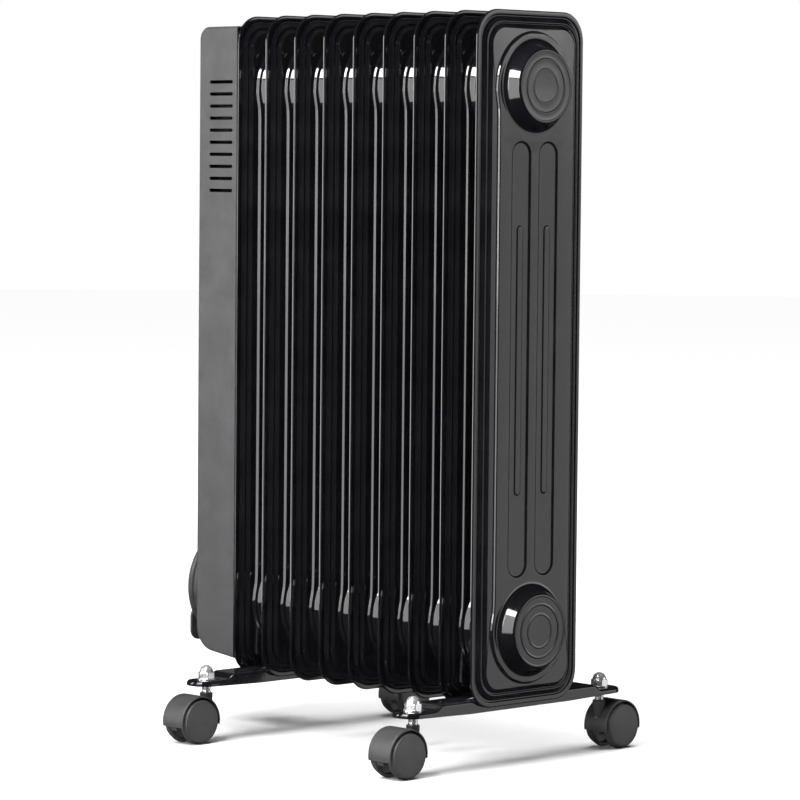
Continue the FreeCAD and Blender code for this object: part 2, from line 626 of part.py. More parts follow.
def make_housing():
    """A folded steel cover, open towards the first fin, with vent slots in both sides."""
    body = new_body()
    outline = sketch_on(body, "XZ_Plane")
    draw_polygon(outline, [(-d.housing_gap, d.housing_low_back), (-d.housing_depth, d.housing_low_front),
                           (-d.housing_depth, d.housing_top), (-d.housing_gap, d.housing_top)])
    pad(outline, d.housing_width, both_ways=True)
    front, top, low = -d.housing_depth.value, d.housing_top.value, d.housing_low_front.value
    half = d.housing_width.value / 2
    round_edges(body, d.housing_low_round, corner_edges(front, [low], half))
    round_edges(body, d.housing_top_round, corner_edges(front, [top], half))
    round_edges(body, d.housing_edge_round, lambda edge: edge.Length > 1 and all(
        abs(abs(vertex.Point.y) - half) < NEAR and vertex.Point.x < -d.housing_gap.value - 1
        for vertex in edge.Vertexes))

    skin = body.newObject("PartDesign::Thickness", "skin")
    rounded = skin.BaseFeature
    open_face = [f"Face{i}" for i, face in enumerate(rounded.Shape.Faces, start=1)
                 if face.CenterOfMass.x > -d.housing_gap.value - 0.5]
    skin.Base = (rounded, open_face)
    skin.Reversed = True
    bind(skin, Value=d.housing_wall)
    doc.recompute()

    slot = sketch_on(body, "XZ_Plane")
    draw_rounded(slot, d.vent_length, d.vent_height, d.vent_round,
                 -d.vent_back - d.vent_length / 2, d.vent_low)
    slot_pocket = pocket(slot, d.housing_width + BEYOND * 2, both_ways=True)
    doc.recompute()
    slots = body.newObject("PartDesign::LinearPattern", "slots")
    slots.Originals = [slot_pocket]
    slots.Direction = (slot, ["V_Axis"])
    slots.Occurrences = VENT_COUNT
    bind(slots, Length=d.vent_pitch * (VENT_COUNT - 1))
    body.Tip = slots

    holes = sketch_on(body, "YZ_Plane", lift=-d.housing_depth)
    for height in (d.thermostat_height, d.selector_height, d.lamp_height):
        draw_circle(holes, d.spindle_hole, 0, height - d.ground)
    draw_circle(holes, d.spindle_hole, d.turn_inner,
                d.winder_height + d.gland_low + d.gland_height / 2 - d.ground)
    pocket(holes, d.housing_wall * 4, both_ways=True)
    screw_holes = sketch_on(body, "XY_Plane", lift=d.housing_top)
    for side in (-1, 1):
        draw_circle(screw_holes, d.screw_radius, -d.top_screw_x, d.top_screw_spread * side)
    pocket(screw_holes, d.housing_wall * 4, both_ways=True)
    put(body, d.first_fin_x, 0, d.ground)
    keep(body, "housing")


def make_housing_screws():
    top = d.ground + d.housing_top
    profile = [(0, -d.screw_length), (d.screw_radius, -d.screw_length), (d.screw_radius, 0),
               (d.screw_head_radius, 0), (d.screw_head_radius, d.screw_rim_height),
               (d.screw_crown_radius, d.screw_crown_height), (0, d.screw_head_height)]
    screws = [put(turned(profile), d.first_fin_x - d.top_screw_x, d.top_screw_spread * side, top)
              for side in (-1, 1)]
    keep(group(*screws), "housing_screws")


# ---------------------------------------------------------------- controls

def make_control_panel():
    """A plastic fascia on the front of the housing, with holes for the spindles and the lamp."""
    body = new_body()
    outline = sketch_on(body, "YZ_Plane")
    draw_rounded(outline, d.fascia_width, d.fascia_height, d.fascia_corner)
    pad(outline, d.fascia_thickness, reverse=True)
    round_edges(body, d.fascia_edge_round, edges_at(-d.fascia_thickness))
    holes = sketch_on(body, "YZ_Plane")
    for height in (d.thermostat_height, d.selector_height):
        draw_circle(holes, d.spindle_radius + d.fascia_clearance, 0, height - d.fascia_middle)
    draw_circle(holes, d.lamp_radius, 0, d.lamp_height - d.fascia_middle)
    pocket(holes, d.fascia_thickness * 4, both_ways=True)
    put(body, face_x, 0, d.fascia_middle)
    keep(body, "control_panel")


def make_knob(label, height, radius):
    """A knob with a skirt and a pointer ridge, bored for its spindle."""
    body = new_body()
    back = -(d.fascia_thickness + d.knob_gap)
    front = back - d.knob_depth
    bore_end = -d.spindle_outer
    sketch = sketch_on(body, "XZ_Plane")
    face_radius = radius - d.knob_draft - d.knob_edge
    draw_polygon(sketch, [(bore_end, 0), (front, 0), (front, face_radius),
                          (front + d.knob_edge, radius - d.knob_draft),
                          (back - d.knob_skirt_height, radius),
                          (back - d.knob_skirt_height, radius + d.knob_skirt), (back, radius + d.knob_skirt),
                          (back, d.spindle_radius), (bore_end, d.spindle_radius)])
    revolve(sketch)
    ridge = sketch_on(body, "YZ_Plane", lift=front)
    draw_rounded(ridge, d.pointer_width, radius, d.pointer_corner, 0, radius / 2 - d.knob_draft)
    pad(ridge, d.pointer_rise, reverse=True)
    put(body, face_x, 0, height)
    keep(body, label)


def make_spindle(label, height):
    length = d.spindle_inner + d.spindle_outer
    keep(cylinder(d.spindle_radius, length, face_x - d.spindle_outer, 0, height, AXIS_X), label)


def make_control_body(label, height, width, depth):
    """A switch body behind the housing's front, with a blind bearing for its spindle."""
    front = face_x + d.housing_wall
    block = box(depth, width, width, front, -width / 2, height - width / 2)
    bearing = cylinder(d.spindle_radius + d.spindle_clearance, d.spindle_inner, front - 1, 0, height, AXIS_X)
    keep(cut(block, bearing), label)


def make_pilot_lamp():
    front = -d.fascia_thickness
    lens = turned([(d.lamp_depth, 0), (d.lamp_depth, d.lamp_stem_radius), (0, d.lamp_stem_radius),
                   (0, d.lamp_radius), (front, d.lamp_radius),
                   (front - d.lamp_shoulder, d.lamp_radius - d.lamp_edge), (front - d.lamp_rise, 0)], "H_Axis")
    put(lens, face_x, 0, d.lamp_height)
    keep(lens, "pilot_lamp")


def make_inner_parts():
    """Pieces fixed to the mounting plate, hidden by the housing."""
    plate_face = d.first_fin_x - d.stadium_half - d.plate_thickness
    disc = cylinder(d.cutout_size, d.cutout_size, plate_face - d.cutout_size, d.cutout_side,
                    d.ground + d.cutout_level, AXIS_X)
    keep(disc, "thermal_cutout")
    for label, depth, width, height, level in (
            ("tip_over_switch", d.tip_switch_depth, d.tip_switch_width, d.tip_switch_height, d.tip_switch_level),
            ("terminal_block", d.terminal_depth, d.terminal_width, d.terminal_height, d.terminal_level)):
        keep(box(depth, width, height, plate_face - depth, -width / 2, d.ground + level), label)


# ---------------------------------------------------------------- winder, cord and plug

def make_cord_gland():
    """A block on the housing's front, with a tapered strain relief that points down."""
    body = new_body()
    block = sketch_on(body, "YZ_Plane")
    draw_rounded(block, d.gland_width, d.gland_height, d.gland_corner, 0, d.gland_height / 2)
    pad(block, d.cord_stand_off * 2, reverse=True)
    low = d.winder_height + d.gland_low
    put(body, face_x, d.turn_inner, low)
    boot = cone(d.boot_tip_radius, d.boot_radius, d.boot_length, face_x - d.cord_stand_off,
                d.turn_inner, low - d.boot_length)
    spigot = cylinder(d.spindle_hole, d.gland_spigot, face_x - OVERLAP, d.turn_inner,
                      low + d.gland_height / 2, AXIS_X)
    keep(fused(body, boot, spigot), "cord_gland")


def make_cord_winder():
    """A hollow hub with a front plate: a wide lip below, a narrow one above, and two pin holes."""
    body = new_body()
    front = -(d.lip_gap + d.lip_thickness)
    disc = sketch_on(body, "YZ_Plane", lift=front)
    draw_circle(disc, d.hub_radius + d.disc_margin)
    pad(disc, d.lip_thickness)
    lower_lip = sketch_on(body, "YZ_Plane", lift=front)
    draw_rounded(lower_lip, d.lower_lip_width, d.lower_lip_height, d.lip_corner, 0, d.lower_lip_middle)
    pad(lower_lip, d.lip_thickness)
    upper_lip = sketch_on(body, "YZ_Plane", lift=front)
    draw_rounded(upper_lip, d.upper_lip_width, d.upper_lip_height, d.lip_corner, 0, d.upper_lip_middle)
    pad(upper_lip, d.lip_thickness)
    hub = sketch_on(body, "YZ_Plane")
    draw_circle(hub, d.hub_radius)
    pad(hub, d.lip_gap, reverse=True)
    hollow = sketch_on(body, "YZ_Plane")
    draw_circle(hollow, d.hub_radius - d.hub_wall)
    pocket(hollow, d.lip_gap)
    pin_holes = sketch_on(body, "YZ_Plane", lift=front)
    for side in (-1, 1):
        draw_circle(pin_holes, d.pin_radius + d.pin_clearance, d.plug_shift,
                    d.plug_drop + d.pin_half_gap * side)
    pocket(pin_holes, d.lip_thickness * 3, both_ways=True)
    put(body, face_x, 0, d.winder_height)
    keep(body, "cord_winder")


def coil_ring():
    """The outer shape of the wound cord."""
    length = d.coil_front - d.coil_back
    outside = cylinder(d.turn_outer + d.cord_radius, length, face_x - d.coil_front, 0, d.winder_height, AXIS_X)
    inside = cylinder(d.turn_inner - d.cord_radius, length + BEYOND * 2, face_x - d.coil_front - BEYOND, 0,
                      d.winder_height, AXIS_X)
    return cut(outside, inside)


def rounded_route(corners):
    """Straight runs joined by tangent arcs, each as large as its two runs allow."""
    points = [Vector(*corner) for corner in corners]
    edges = []
    start = points[0]
    for before, corner, after in zip(points, points[1:], points[2:]):
        incoming = (corner - before).normalize()
        outgoing = (after - corner).normalize()
        half_turn = incoming.getAngle(outgoing) / 2
        shorter = min(before.distanceToPoint(corner), corner.distanceToPoint(after))
        reach = BEND_SHARE * shorter
        radius = reach / math.tan(half_turn)
        print(f"cord bend: radius {radius:.1f} mm, turn {math.degrees(2 * half_turn):.0f} degrees")
        begin, end = corner - incoming * reach, corner + outgoing * reach
        inward = (outgoing - incoming).normalize()
        middle = corner + inward * (radius / math.cos(half_turn) - radius)
        edges += [Part.LineSegment(start, begin).toShape(), Part.Arc(begin, middle, end).toShape()]
        start = end
    edges.append(Part.LineSegment(start, points[-1]).toShape())
    return Part.Wire(edges)


def make_cord():
    """The cord's stretch from the gland, its wound part, and the loop from there to the plug."""
    boot_tip = d.winder_height + d.gland_low - d.boot_length
    low = d.winder_height + d.lead_in_end
    run = cylinder(d.cord_radius, boot_tip - low, face_x - d.cord_stand_off, d.turn_inner, low)
    keep(cut(run, coil_ring()), "cord_lead_in")
    keep(coil_ring(), "cord_coil")

    # (distance from the housing's front, Y, height above the winder's middle)
    route = [(20.5, -16, 47.5), (20.5, 1, 55.8), (21, 18, 61), (22.5, 37, 62.5), (24.5, 56, 58.5),
             (27, 72, 47), (29.5, 81, 29.5), (32, 80.5, 10), (34, 71, -6.5), (35.4, 54.5, -15),
             (35.9, 35.5, -15)]
    wire = rounded_route([(-stand_off, y, height) for stand_off, y, height in route])
    first = wire.Edges[0]
    ring = Part.Wire(Part.makeCircle(d.cord_radius.value, first.valueAt(first.FirstParameter),
                                     first.tangentAt(first.FirstParameter)))
    tube = wire.makePipeShell([ring], True, True)
    section = math.pi * d.cord_radius.value ** 2
    print(f"cord loop: length {wire.Length:.1f} mm, volume over section {tube.Volume / section:.1f} mm")
    loop = doc.addObject("Part::Feature", "loop")
    loop.Shape = tube
    put(loop, face_x, 0, d.winder_height)
    keep(cut(loop, coil_ring()), "cord_lead_out")


def make_plug():
    """An angled two pin plug, parked on the winder with its pins in the hub."""
    inner = -(d.lip_gap + d.lip_thickness)
    outer = inner - d.plug_thickness
    middle = inner - d.plug_thickness / 2
    radius = d.plug_radius
    disc = turned([(inner, 0), (inner, radius - d.plug_chamfer), (inner - d.plug_chamfer, radius),
                   (outer + d.plug_crown, radius), (outer + d.plug_crown_height, radius - d.plug_crown_width),
                   (outer, radius - d.plug_crown_border), (outer, 0)], "H_Axis")
    y, height = d.plug_shift, d.winder_height + d.plug_drop
    put(disc, face_x, y, height)
    sleeve = cone(d.sleeve_radius, d.sleeve_tip_radius, d.plug_reach - d.sleeve_start, face_x + middle,
                  y + d.sleeve_start, height, AXIS_Y)
    keep(fused(disc, sleeve), "plug")
    pins = [cylinder(d.pin_radius, d.pin_length, face_x + inner, y, height + d.pin_half_gap * side, AXIS_X)
            for side in (-1, 1)]
    keep(group(*pins), "plug_pins")


# ---------------------------------------------------------------- feet

def make_foot_bar(label, x):
    """An inverted channel with a raised middle and rounded, lower end pads."""
    body = new_body()
    wall = d.bar_sheet
    outline = sketch_on(body, "XY_Plane", lift=d.bar_low)
    draw_rounded(outline, d.bar_width, d.bar_length, d.bar_end_radius)
    pad(outline, d.bar_top - d.bar_low)
    beyond, above_top, below_low = d.bar_length / 2 + BEYOND, d.bar_top + BEYOND, d.bar_low - BEYOND
    for side in (-1, 1):
        above = sketch_on(body, "YZ_Plane")
        draw_polygon(above, [(d.bar_step_inner * side, d.bar_top), (d.bar_step_outer * side, d.bar_pad),
                             (beyond * side, d.bar_pad), (beyond * side, above_top),
                             (d.bar_step_inner * side, above_top)])
        pocket(above, d.bar_width + BEYOND * 2, both_ways=True)
        below = sketch_on(body, "YZ_Plane")
        draw_polygon(below, [(d.bar_taper_start * side, d.bar_low), (beyond * side, d.bar_low + d.bar_tip_rise),
                             (beyond * side, below_low), (d.bar_taper_start * side, below_low)])
        pocket(below, d.bar_width + BEYOND * 2, both_ways=True)
    channel = sketch_on(body, "XY_Plane", lift=d.bar_low)
    draw_rounded(channel, d.bar_width - wall * 2, d.bar_length - wall * 2, d.bar_end_radius - wall)
    pocket(channel, d.bar_pad - wall - d.bar_low, reverse=True)
    raised = sketch_on(body, "XY_Plane", lift=d.bar_low)
    draw_rounded(raised, d.bar_width - wall * 2, d.bar_step_inner * 2 - wall * 2, wall)
    pocket(raised, d.bar_top - wall - d.bar_low, reverse=True)
    holes = sketch_on(body, "XY_Plane", lift=d.bar_pad)
    for side in (-1, 1):
        draw_circle(holes, d.stem_hole, 0, d.stem_spread * side)
        draw_circle(holes, d.bolt_hole, 0, (d.bolt_inner + d.bolt_wire) * side)
    pocket(holes, (d.bar_top - d.bar_low) * 2, both_ways=True)
    put(body, x)
    keep(body, label)


def make_u_bolt(label, x):
    """Wire bent over the lower collector, with both ends through the foot bar."""
    height = d.ground + low_collector
    spread = d.bolt_inner + d.bolt_wire
    bend = half_ring(spread, d.bolt_wire, x, 0, height, XYZ_TO_YZX)
    legs = [cylinder(d.bolt_wire, height - d.bolt_end, x, spread * side, d.bolt_end) for side in (-1, 1)]
    keep(fused(bend, *legs), label)


def make_wing_nuts():
    underside = d.bar_top - d.bar_sheet
    nuts = []
    for x in (near_bar_x, far_bar_x):
        for side in (-1, 1):
            y = (d.bolt_inner + d.bolt_wire) * side
            hub = cylinder(d.wing_hub_radius, d.wing_hub_height, x, y, underside - d.wing_hub_height)
            wings = box(d.wing_thickness, d.wing_span, d.wing_height, x - d.wing_thickness / 2,
                        y - d.wing_span / 2, underside - d.wing_height - d.wing_drop)
            bore = cylinder(d.bolt_wire, d.wing_height * 2, x, y, underside - d.wing_height * 1.5)
            nuts.append(cut(fused(hub, wings), bore))
    keep(group(*nuts), "wing_nuts")


def caster_places():
    return [(near_bar_x, -1), (far_bar_x, -1), (far_bar_x, 1), (near_bar_x, 1)]


def make_stem_hardware():
    """Stems, washers and cap nuts of the four casters, one node for each kind."""
    shoulder = d.bar_pad - d.bar_sheet
    collar = d.stem_radius + d.collar_margin
    collar_low = shoulder - d.collar_height
    stem_profile = [(0, d.stem_foot), (d.stem_radius, d.stem_foot), (d.stem_radius, collar_low),
                    (collar, collar_low), (collar, shoulder), (d.stem_radius, shoulder),
                    (d.stem_radius, d.stem_top), (0, d.stem_top)]
    washer_top = d.bar_pad + d.washer_thickness
    washer_profile = [(d.stem_hole, d.bar_pad), (d.washer_radius, d.bar_pad), (d.washer_radius, washer_top),
                      (d.stem_hole, washer_top)]
    stems, washers, nuts = [], [], []
    for x, side in caster_places():
        y = d.stem_spread * side
        stems.append(put(turned(stem_profile), x, y))
        washers.append(put(turned(washer_profile), x, y))
        hexagon = bind(doc.addObject("Part::Prism", "hexagon"), Height=d.nut_hex_height,
                       Circumradius=d.nut_flats / math.sqrt(3))
        put(hexagon, x, y, washer_top)
        dome = bind(doc.addObject("Part::Sphere", "dome"), Radius=d.nut_dome)
        dome.Angle1 = 0
        put(dome, x, y, washer_top + d.nut_hex_height)
        bore = cylinder(d.stem_radius, d.stem_top - washer_top + OVERLAP * 2, x, y, washer_top - OVERLAP)
        nuts.append(cut(fused(hexagon, dome), bore))
    keep(group(*stems), "caster_stems")
    keep(group(*washers), "stem_washers")
    keep(group(*nuts), "cap_nuts")


def all_below(level):
    """A block under a level, larger than a caster."""
    size = d.hood_radius * 4
    return box(size, size, size, size / -2, size / -2, level - size)


def make_hood(number, x, side):
    """A half round hood over both wheels, with a middle web and the stem's socket."""
    axle_at = dict(y=d.wheel_trail, z=d.wheel_radius, rotation=AXIS_X)
    shell = cut(cylinder(d.hood_radius, d.hood_half * 2, -d.hood_half, **axle_at),
                cylinder(d.hood_inner, (d.hood_half + BEYOND) * 2, -d.hood_half - BEYOND, **axle_at),
                all_below(d.hood_low))
    web = cut(cylinder(d.hood_inner + OVERLAP, d.web_half * 2, -d.web_half, **axle_at), all_below(d.web_low))
    boss_half = d.wheel_inner - d.boss_gap
    boss = cylinder(d.axle_radius + d.boss_wall, boss_half * 2, -boss_half, **axle_at)
    socket_foot = d.stem_foot - d.socket_floor
    socket = cylinder(d.socket_radius, d.socket_top - socket_foot, z=socket_foot)
    stem_bore = cylinder(d.stem_radius + d.stem_clearance, d.socket_top, z=d.stem_foot - d.stem_end_gap)
    axle_bore = cylinder(d.axle_radius, d.hood_half * 2, -d.hood_half, **axle_at)
    hood = cut(fused(shell, web, boss, socket), stem_bore, axle_bore)
    put(hood, x, d.stem_spread * side, 0, None if side > 0 else HALF_TURN)
    keep(hood, f"caster_hood_{number}")


def make_axle(number, x, side):
    y = (d.stem_spread + d.wheel_trail) * side
    axle = cylinder(d.axle_radius, d.axle_half * 2, x - d.axle_half, y, d.wheel_radius, AXIS_X)
    keep(axle, f"caster_axle_{number}")


def make_wheel(number, letter, x, side, facing):
    """A cup shaped wheel with a closed outer face and a blind bore for the axle."""
    bore = d.axle_radius + d.axle_clearance
    inner, outer, rim = d.wheel_inner, d.wheel_outer, d.wheel_radius
    bore_end = d.axle_half + d.axle_end_gap
    tread, face_back = rim - d.wheel_wall, outer - d.wheel_face_wall
    hub, hub_end = bore + d.wheel_hub_wall, inner - d.wheel_hub_reach
    profile = [(bore_end, 0), (outer, 0), (outer - d.wheel_crown_fall, rim - d.wheel_crown),
               (outer - d.wheel_edge_fall, rim - d.wheel_edge), (outer - d.wheel_edge_end, rim),
               (inner + d.wheel_chamfer, rim), (inner, rim - d.wheel_chamfer), (inner, tread),
               (face_back, tread), (face_back, hub), (hub_end, hub), (hub_end, bore), (bore_end, bore)]
    wheel = turned(profile, "H_Axis")
    y = (d.stem_spread + d.wheel_trail) * side
    put(wheel, x, y, d.wheel_radius, None if facing > 0 else HALF_TURN)
    keep(wheel, f"caster_wheel_{number}{letter}")


# ---------------------------------------------------------------- assembly and export

def build():
    for number in range(1, FIN_COUNT + 1):
        make_fin(number)
    make_end_cup("upper_end_cup", high_collector)
    make_end_cup("lower_end_cup", low_collector)
    make_heating_element()
    make_element_flange()
    make_collector_closure()
    make_mounting_plate()
    make_housing()
    make_housing_screws()
    make_control_panel()
    make_knob("thermostat_knob", d.thermostat_height, d.thermostat_knob_radius)
    make_knob("selector_knob", d.selector_height, d.selector_knob_radius)
    make_spindle("thermostat_spindle", d.thermostat_height)
    make_spindle("selector_spindle", d.selector_height)
    make_control_body("thermostat_body", d.thermostat_height, d.thermostat_width, d.thermostat_depth)
    make_control_body("selector_body", d.selector_height, d.selector_width, d.selector_depth)
    make_pilot_lamp()
    make_inner_parts()
    make_cord_gland()
    make_cord_winder()
    make_cord()
    make_plug()
    make_foot_bar("foot_bar_near", near_bar_x)
    make_foot_bar("foot_bar_far", far_bar_x)
    make_u_bolt("u_bolt_near", near_bar_x)
    make_u_bolt("u_bolt_far", far_bar_x)
    make_wing_nuts()
    make_stem_hardware()
    for number, (x, side) in enumerate(caster_places(), start=1):
        make_hood(number, x, side)
        make_axle(number, x, side)
        make_wheel(number, "a", x, side, 1)
        make_wheel(number, "b", x, side, -1)


def check():
    doc.recompute()
    for thing in doc.Objects:
        if "Invalid" in thing.State or "Error" in thing.State:
            raise RuntimeError(f"{thing.Name} of {thing.Label}: {thing.State} {thing.getStatusString()}")
    for subpart in subparts:
        if subpart.Shape.isNull() or not subpart.Shape.isValid():
            raise RuntimeError(f"{subpart.Label} has no valid shape")
        print(f"{subpart.Label}: {len(subpart.Shape.Solids)} solids, {subpart.Shape.Volume / 1000:.1f} cm3")


build()
check()
os.makedirs("parts", exist_ok=True)
for subpart in subparts:
    subpart.Shape.exportStep(f"parts/{subpart.Label}.step")
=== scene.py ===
import bmesh
import bpy
import math
from mathutils import Matrix, Vector
from mathutils.geometry import delaunay_2d_cdt


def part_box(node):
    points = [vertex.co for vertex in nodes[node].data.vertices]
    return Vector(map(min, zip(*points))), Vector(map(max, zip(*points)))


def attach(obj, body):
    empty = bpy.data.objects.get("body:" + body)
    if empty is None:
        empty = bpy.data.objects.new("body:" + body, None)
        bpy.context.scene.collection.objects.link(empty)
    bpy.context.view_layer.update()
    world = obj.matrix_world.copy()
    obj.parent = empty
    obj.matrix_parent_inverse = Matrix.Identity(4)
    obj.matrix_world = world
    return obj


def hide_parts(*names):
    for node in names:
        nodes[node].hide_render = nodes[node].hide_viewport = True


# Oil filled radiator heater. X runs along the row of fins, Y across it, Z up from the floor.
# Places are in metres. Shapes are drawn in millimetres and scaled by MM when they become meshes.

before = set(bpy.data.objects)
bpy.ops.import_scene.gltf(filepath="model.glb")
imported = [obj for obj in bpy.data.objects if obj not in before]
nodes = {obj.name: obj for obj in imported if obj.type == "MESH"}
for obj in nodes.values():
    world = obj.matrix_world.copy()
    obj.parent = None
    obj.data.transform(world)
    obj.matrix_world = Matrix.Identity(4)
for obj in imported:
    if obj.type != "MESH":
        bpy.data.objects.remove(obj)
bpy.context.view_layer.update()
MM = 0.001


# ---------------------------------------------------------------- places, read from the frame

FIN_COUNT = 9
CASTER_NUMBERS = (1, 2, 3, 4)

first_low, first_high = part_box("fin_1")
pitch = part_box("fin_3")[1].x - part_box("fin_2")[1].x
fin_x = [first_high.x - pitch / 2 + pitch * i for i in range(FIN_COUNT)]
fin_low = first_low.z
fin_height = (first_high.z - first_low.z) / MM
fin_half_width = first_high.y / MM
face_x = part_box("housing")[0].x
winder_z = (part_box("cord_coil")[0].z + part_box("cord_coil")[1].z) / 2


# ---------------------------------------------------------------- camera, floor and light

CAMERA_PLACE = (2.3598, -2.3046, 0.5005)
CAMERA_AZIMUTH = math.radians(45.36)
CAMERA_ELEVATION = math.radians(3.50)
CAMERA_ROLL = math.radians(0.547)
CAMERA_LENS = 170.9
SENSOR_WIDTH = 36
FARTHEST_SEEN = 50

# The room is dim but for a bright wall. Each pair is where a smooth step starts and ends: across the wall's
# sides as the cosine of the angle from its middle, up its foot and its top as the sine of the elevation.
ROOM_LIGHT = 0.012
WALL_AZIMUTH = math.radians(46.7)
WALL_SIDES = (0.915, 0.965)
WALL_FOOT = (-0.01, 0.07)
WALL_TOP = (0.12, 0.3)
WALL_LIGHT = (0.95, 2.3)

# (name, place, target, width, height, radiance)
SOFTBOXES = (("lamp", (-0.15, -0.35, 2.0), (0, 0, 0.5), 0.3, 0.25, 24),
             ("key", (0.14, -0.98, 1.11), (0.2, 0, 0.57), 0.86, 0.34, 30),
             ("strip", (0.65, -1.4, 0.72), (0.1, 0, 0.6), 0.08, 0.75, 12),
             ("reflector", (0.17, -0.95, 0.44), (0.17, 0, 0.44), 0.78, 0.85, 4),
             ("edge_strip", (-0.9, -1.0, 0.45), (0, 0, 0.4), 0.32, 0.95, 7))
OVERHEAD = ("overhead", (0.3, 0.3, 2.7), (0, 0, 0.3), 2.6, 2.4, 6.0)

FLOOR_RADIUS = 12
# how far from the middle of the floor its glow starts and is full, and the full glow
GLOW_FROM, GLOW_TO, GLOW = 0.45, 2.6, 0.95


def make_camera():
    data = bpy.data.cameras.new("camera")
    data.lens = CAMERA_LENS
    data.sensor_width = SENSOR_WIDTH
    data.clip_end = FARTHEST_SEEN
    camera = bpy.data.objects.new("camera", data)
    bpy.context.scene.collection.objects.link(camera)
    flat = Vector((math.sin(CAMERA_AZIMUTH), -math.cos(CAMERA_AZIMUTH), 0))
    back = flat * math.cos(CAMERA_ELEVATION) + Vector((0, 0, math.sin(CAMERA_ELEVATION)))
    right = Vector((math.cos(CAMERA_AZIMUTH), math.sin(CAMERA_AZIMUTH), 0))
    up = back.cross(right)
    across = right * math.cos(CAMERA_ROLL) + up * math.sin(CAMERA_ROLL)
    upward = up * math.cos(CAMERA_ROLL) - right * math.sin(CAMERA_ROLL)
    turn = Matrix((across, upward, back)).transposed().to_4x4()
    camera.matrix_world = Matrix.Translation(CAMERA_PLACE) @ turn
    bpy.context.scene.camera = camera


def make_softbox(name, place, target, width, height, radiance):
    """A rectangular light of even brightness, turned to its target."""
    data = bpy.data.lights.new(name, "AREA")
    data.shape = "RECTANGLE"
    data.size, data.size_y = width, height
    data.energy = radiance * math.pi * width * height
    light = bpy.data.objects.new(name, data)
    bpy.context.scene.collection.objects.link(light)
    light.location = place
    light.rotation_euler = (Vector(target) - Vector(place)).to_track_quat("-Z", "Y").to_euler()
    light.visible_camera = False
    return light


def make_world():
    """A dim room with a bright wall beyond +X +Y; only the camera sees it white all over."""
    world = bpy.data.worlds.new("studio")
    bpy.context.scene.world = world
    world.use_nodes = True
    tree = world.node_tree

    def ramp(value, low, high, low_value, high_value):
        node = tree.nodes.new("ShaderNodeMapRange")
        node.interpolation_type = "SMOOTHSTEP"
        for place, number in enumerate((low, high, low_value, high_value), start=1):
            node.inputs[place].default_value = number
        tree.links.new(value, node.inputs[0])
        return node.outputs[0]

    def combine(kind, one, two):
        node = tree.nodes.new("ShaderNodeMath")
        node.operation = kind
        for socket, value in zip(node.inputs, (one, two)):
            if isinstance(value, float):
                socket.default_value = value
            else:
                tree.links.new(value, socket)
        return node.outputs[0]

    direction = tree.nodes.new("ShaderNodeTexCoord").outputs["Generated"]
    axes = tree.nodes.new("ShaderNodeSeparateXYZ")
    tree.links.new(direction, axes.inputs[0])
    towards_wall = combine("ADD", combine("MULTIPLY", axes.outputs["X"], math.cos(WALL_AZIMUTH)),
                           combine("MULTIPLY", axes.outputs["Y"], math.sin(WALL_AZIMUTH)))
    between_sides = ramp(towards_wall, *WALL_SIDES, 0, 1)
    below_top = ramp(axes.outputs["Z"], *WALL_TOP, 1, 0)
    wall = ramp(axes.outputs["Z"], *WALL_FOOT, *WALL_LIGHT)
    lit = combine("MULTIPLY", combine("MULTIPLY", between_sides, below_top), wall)
    room = tree.nodes["Background"]
    tree.links.new(combine("ADD", lit, ROOM_LIGHT), room.inputs["Strength"])
    room.inputs["Color"].default_value = (1, 1, 1, 1)
    seen = tree.nodes.new("ShaderNodeBackground")
    seen.inputs["Color"].default_value = (1, 1, 1, 1)
    mix = tree.nodes.new("ShaderNodeMixShader")
    tree.links.new(tree.nodes.new("ShaderNodeLightPath").outputs["Is Camera Ray"], mix.inputs["Fac"])
    tree.links.new(room.outputs["Background"], mix.inputs[1])
    tree.links.new(seen.outputs["Background"], mix.inputs[2])
    tree.links.new(mix.outputs["Shader"], tree.nodes["World Output"].inputs["Surface"])


def make_studio():
    """A pale floor and softboxes. Neither the floor nor the broad light above shows in gloss."""
    bpy.context.scene.view_settings.view_transform = "Standard"
    make_world()
    make_softbox(*OVERHEAD).visible_glossy = False
    for softbox in SOFTBOXES:
        make_softbox(*softbox)

    mesh = bpy.data.meshes.new("floor")
    bm = bmesh.new()
    bmesh.ops.create_circle(bm, cap_ends=True, radius=FLOOR_RADIUS, segments=96)
    bm.to_mesh(mesh)
    bm.free()
    floor = bpy.data.objects.new("floor", mesh)
    bpy.context.scene.collection.objects.link(floor)
    mesh.materials.append(floor_paint())
    floor.visible_glossy = False


# ---------------------------------------------------------------- materials

# the part of a noise pattern's range over which a value drifts
NOISE_SPAN = (0.35, 0.65)


def new_material(name, colour, roughness, metallic=0.0, **inputs):
    material = bpy.data.materials.new(name)
    material.use_nodes = True
    shader = material.node_tree.nodes["Principled BSDF"]
    shader.inputs["Base Color"].default_value = (*colour, 1)
    shader.inputs["Roughness"].default_value = roughness
    shader.inputs["Metallic"].default_value = metallic
    for socket, value in inputs.items():
        shader.inputs[socket.replace("_", " ")].default_value = value
    return material


def add_noise(tree, scale, detail=3.0):
    place = tree.nodes.new("ShaderNodeTexCoord")
    noise = tree.nodes.new("ShaderNodeTexNoise")
    noise.inputs["Scale"].default_value = scale
    noise.inputs["Detail"].default_value = detail
    tree.links.new(place.outputs["Object"], noise.inputs["Vector"])
    return noise.outputs["Fac"]


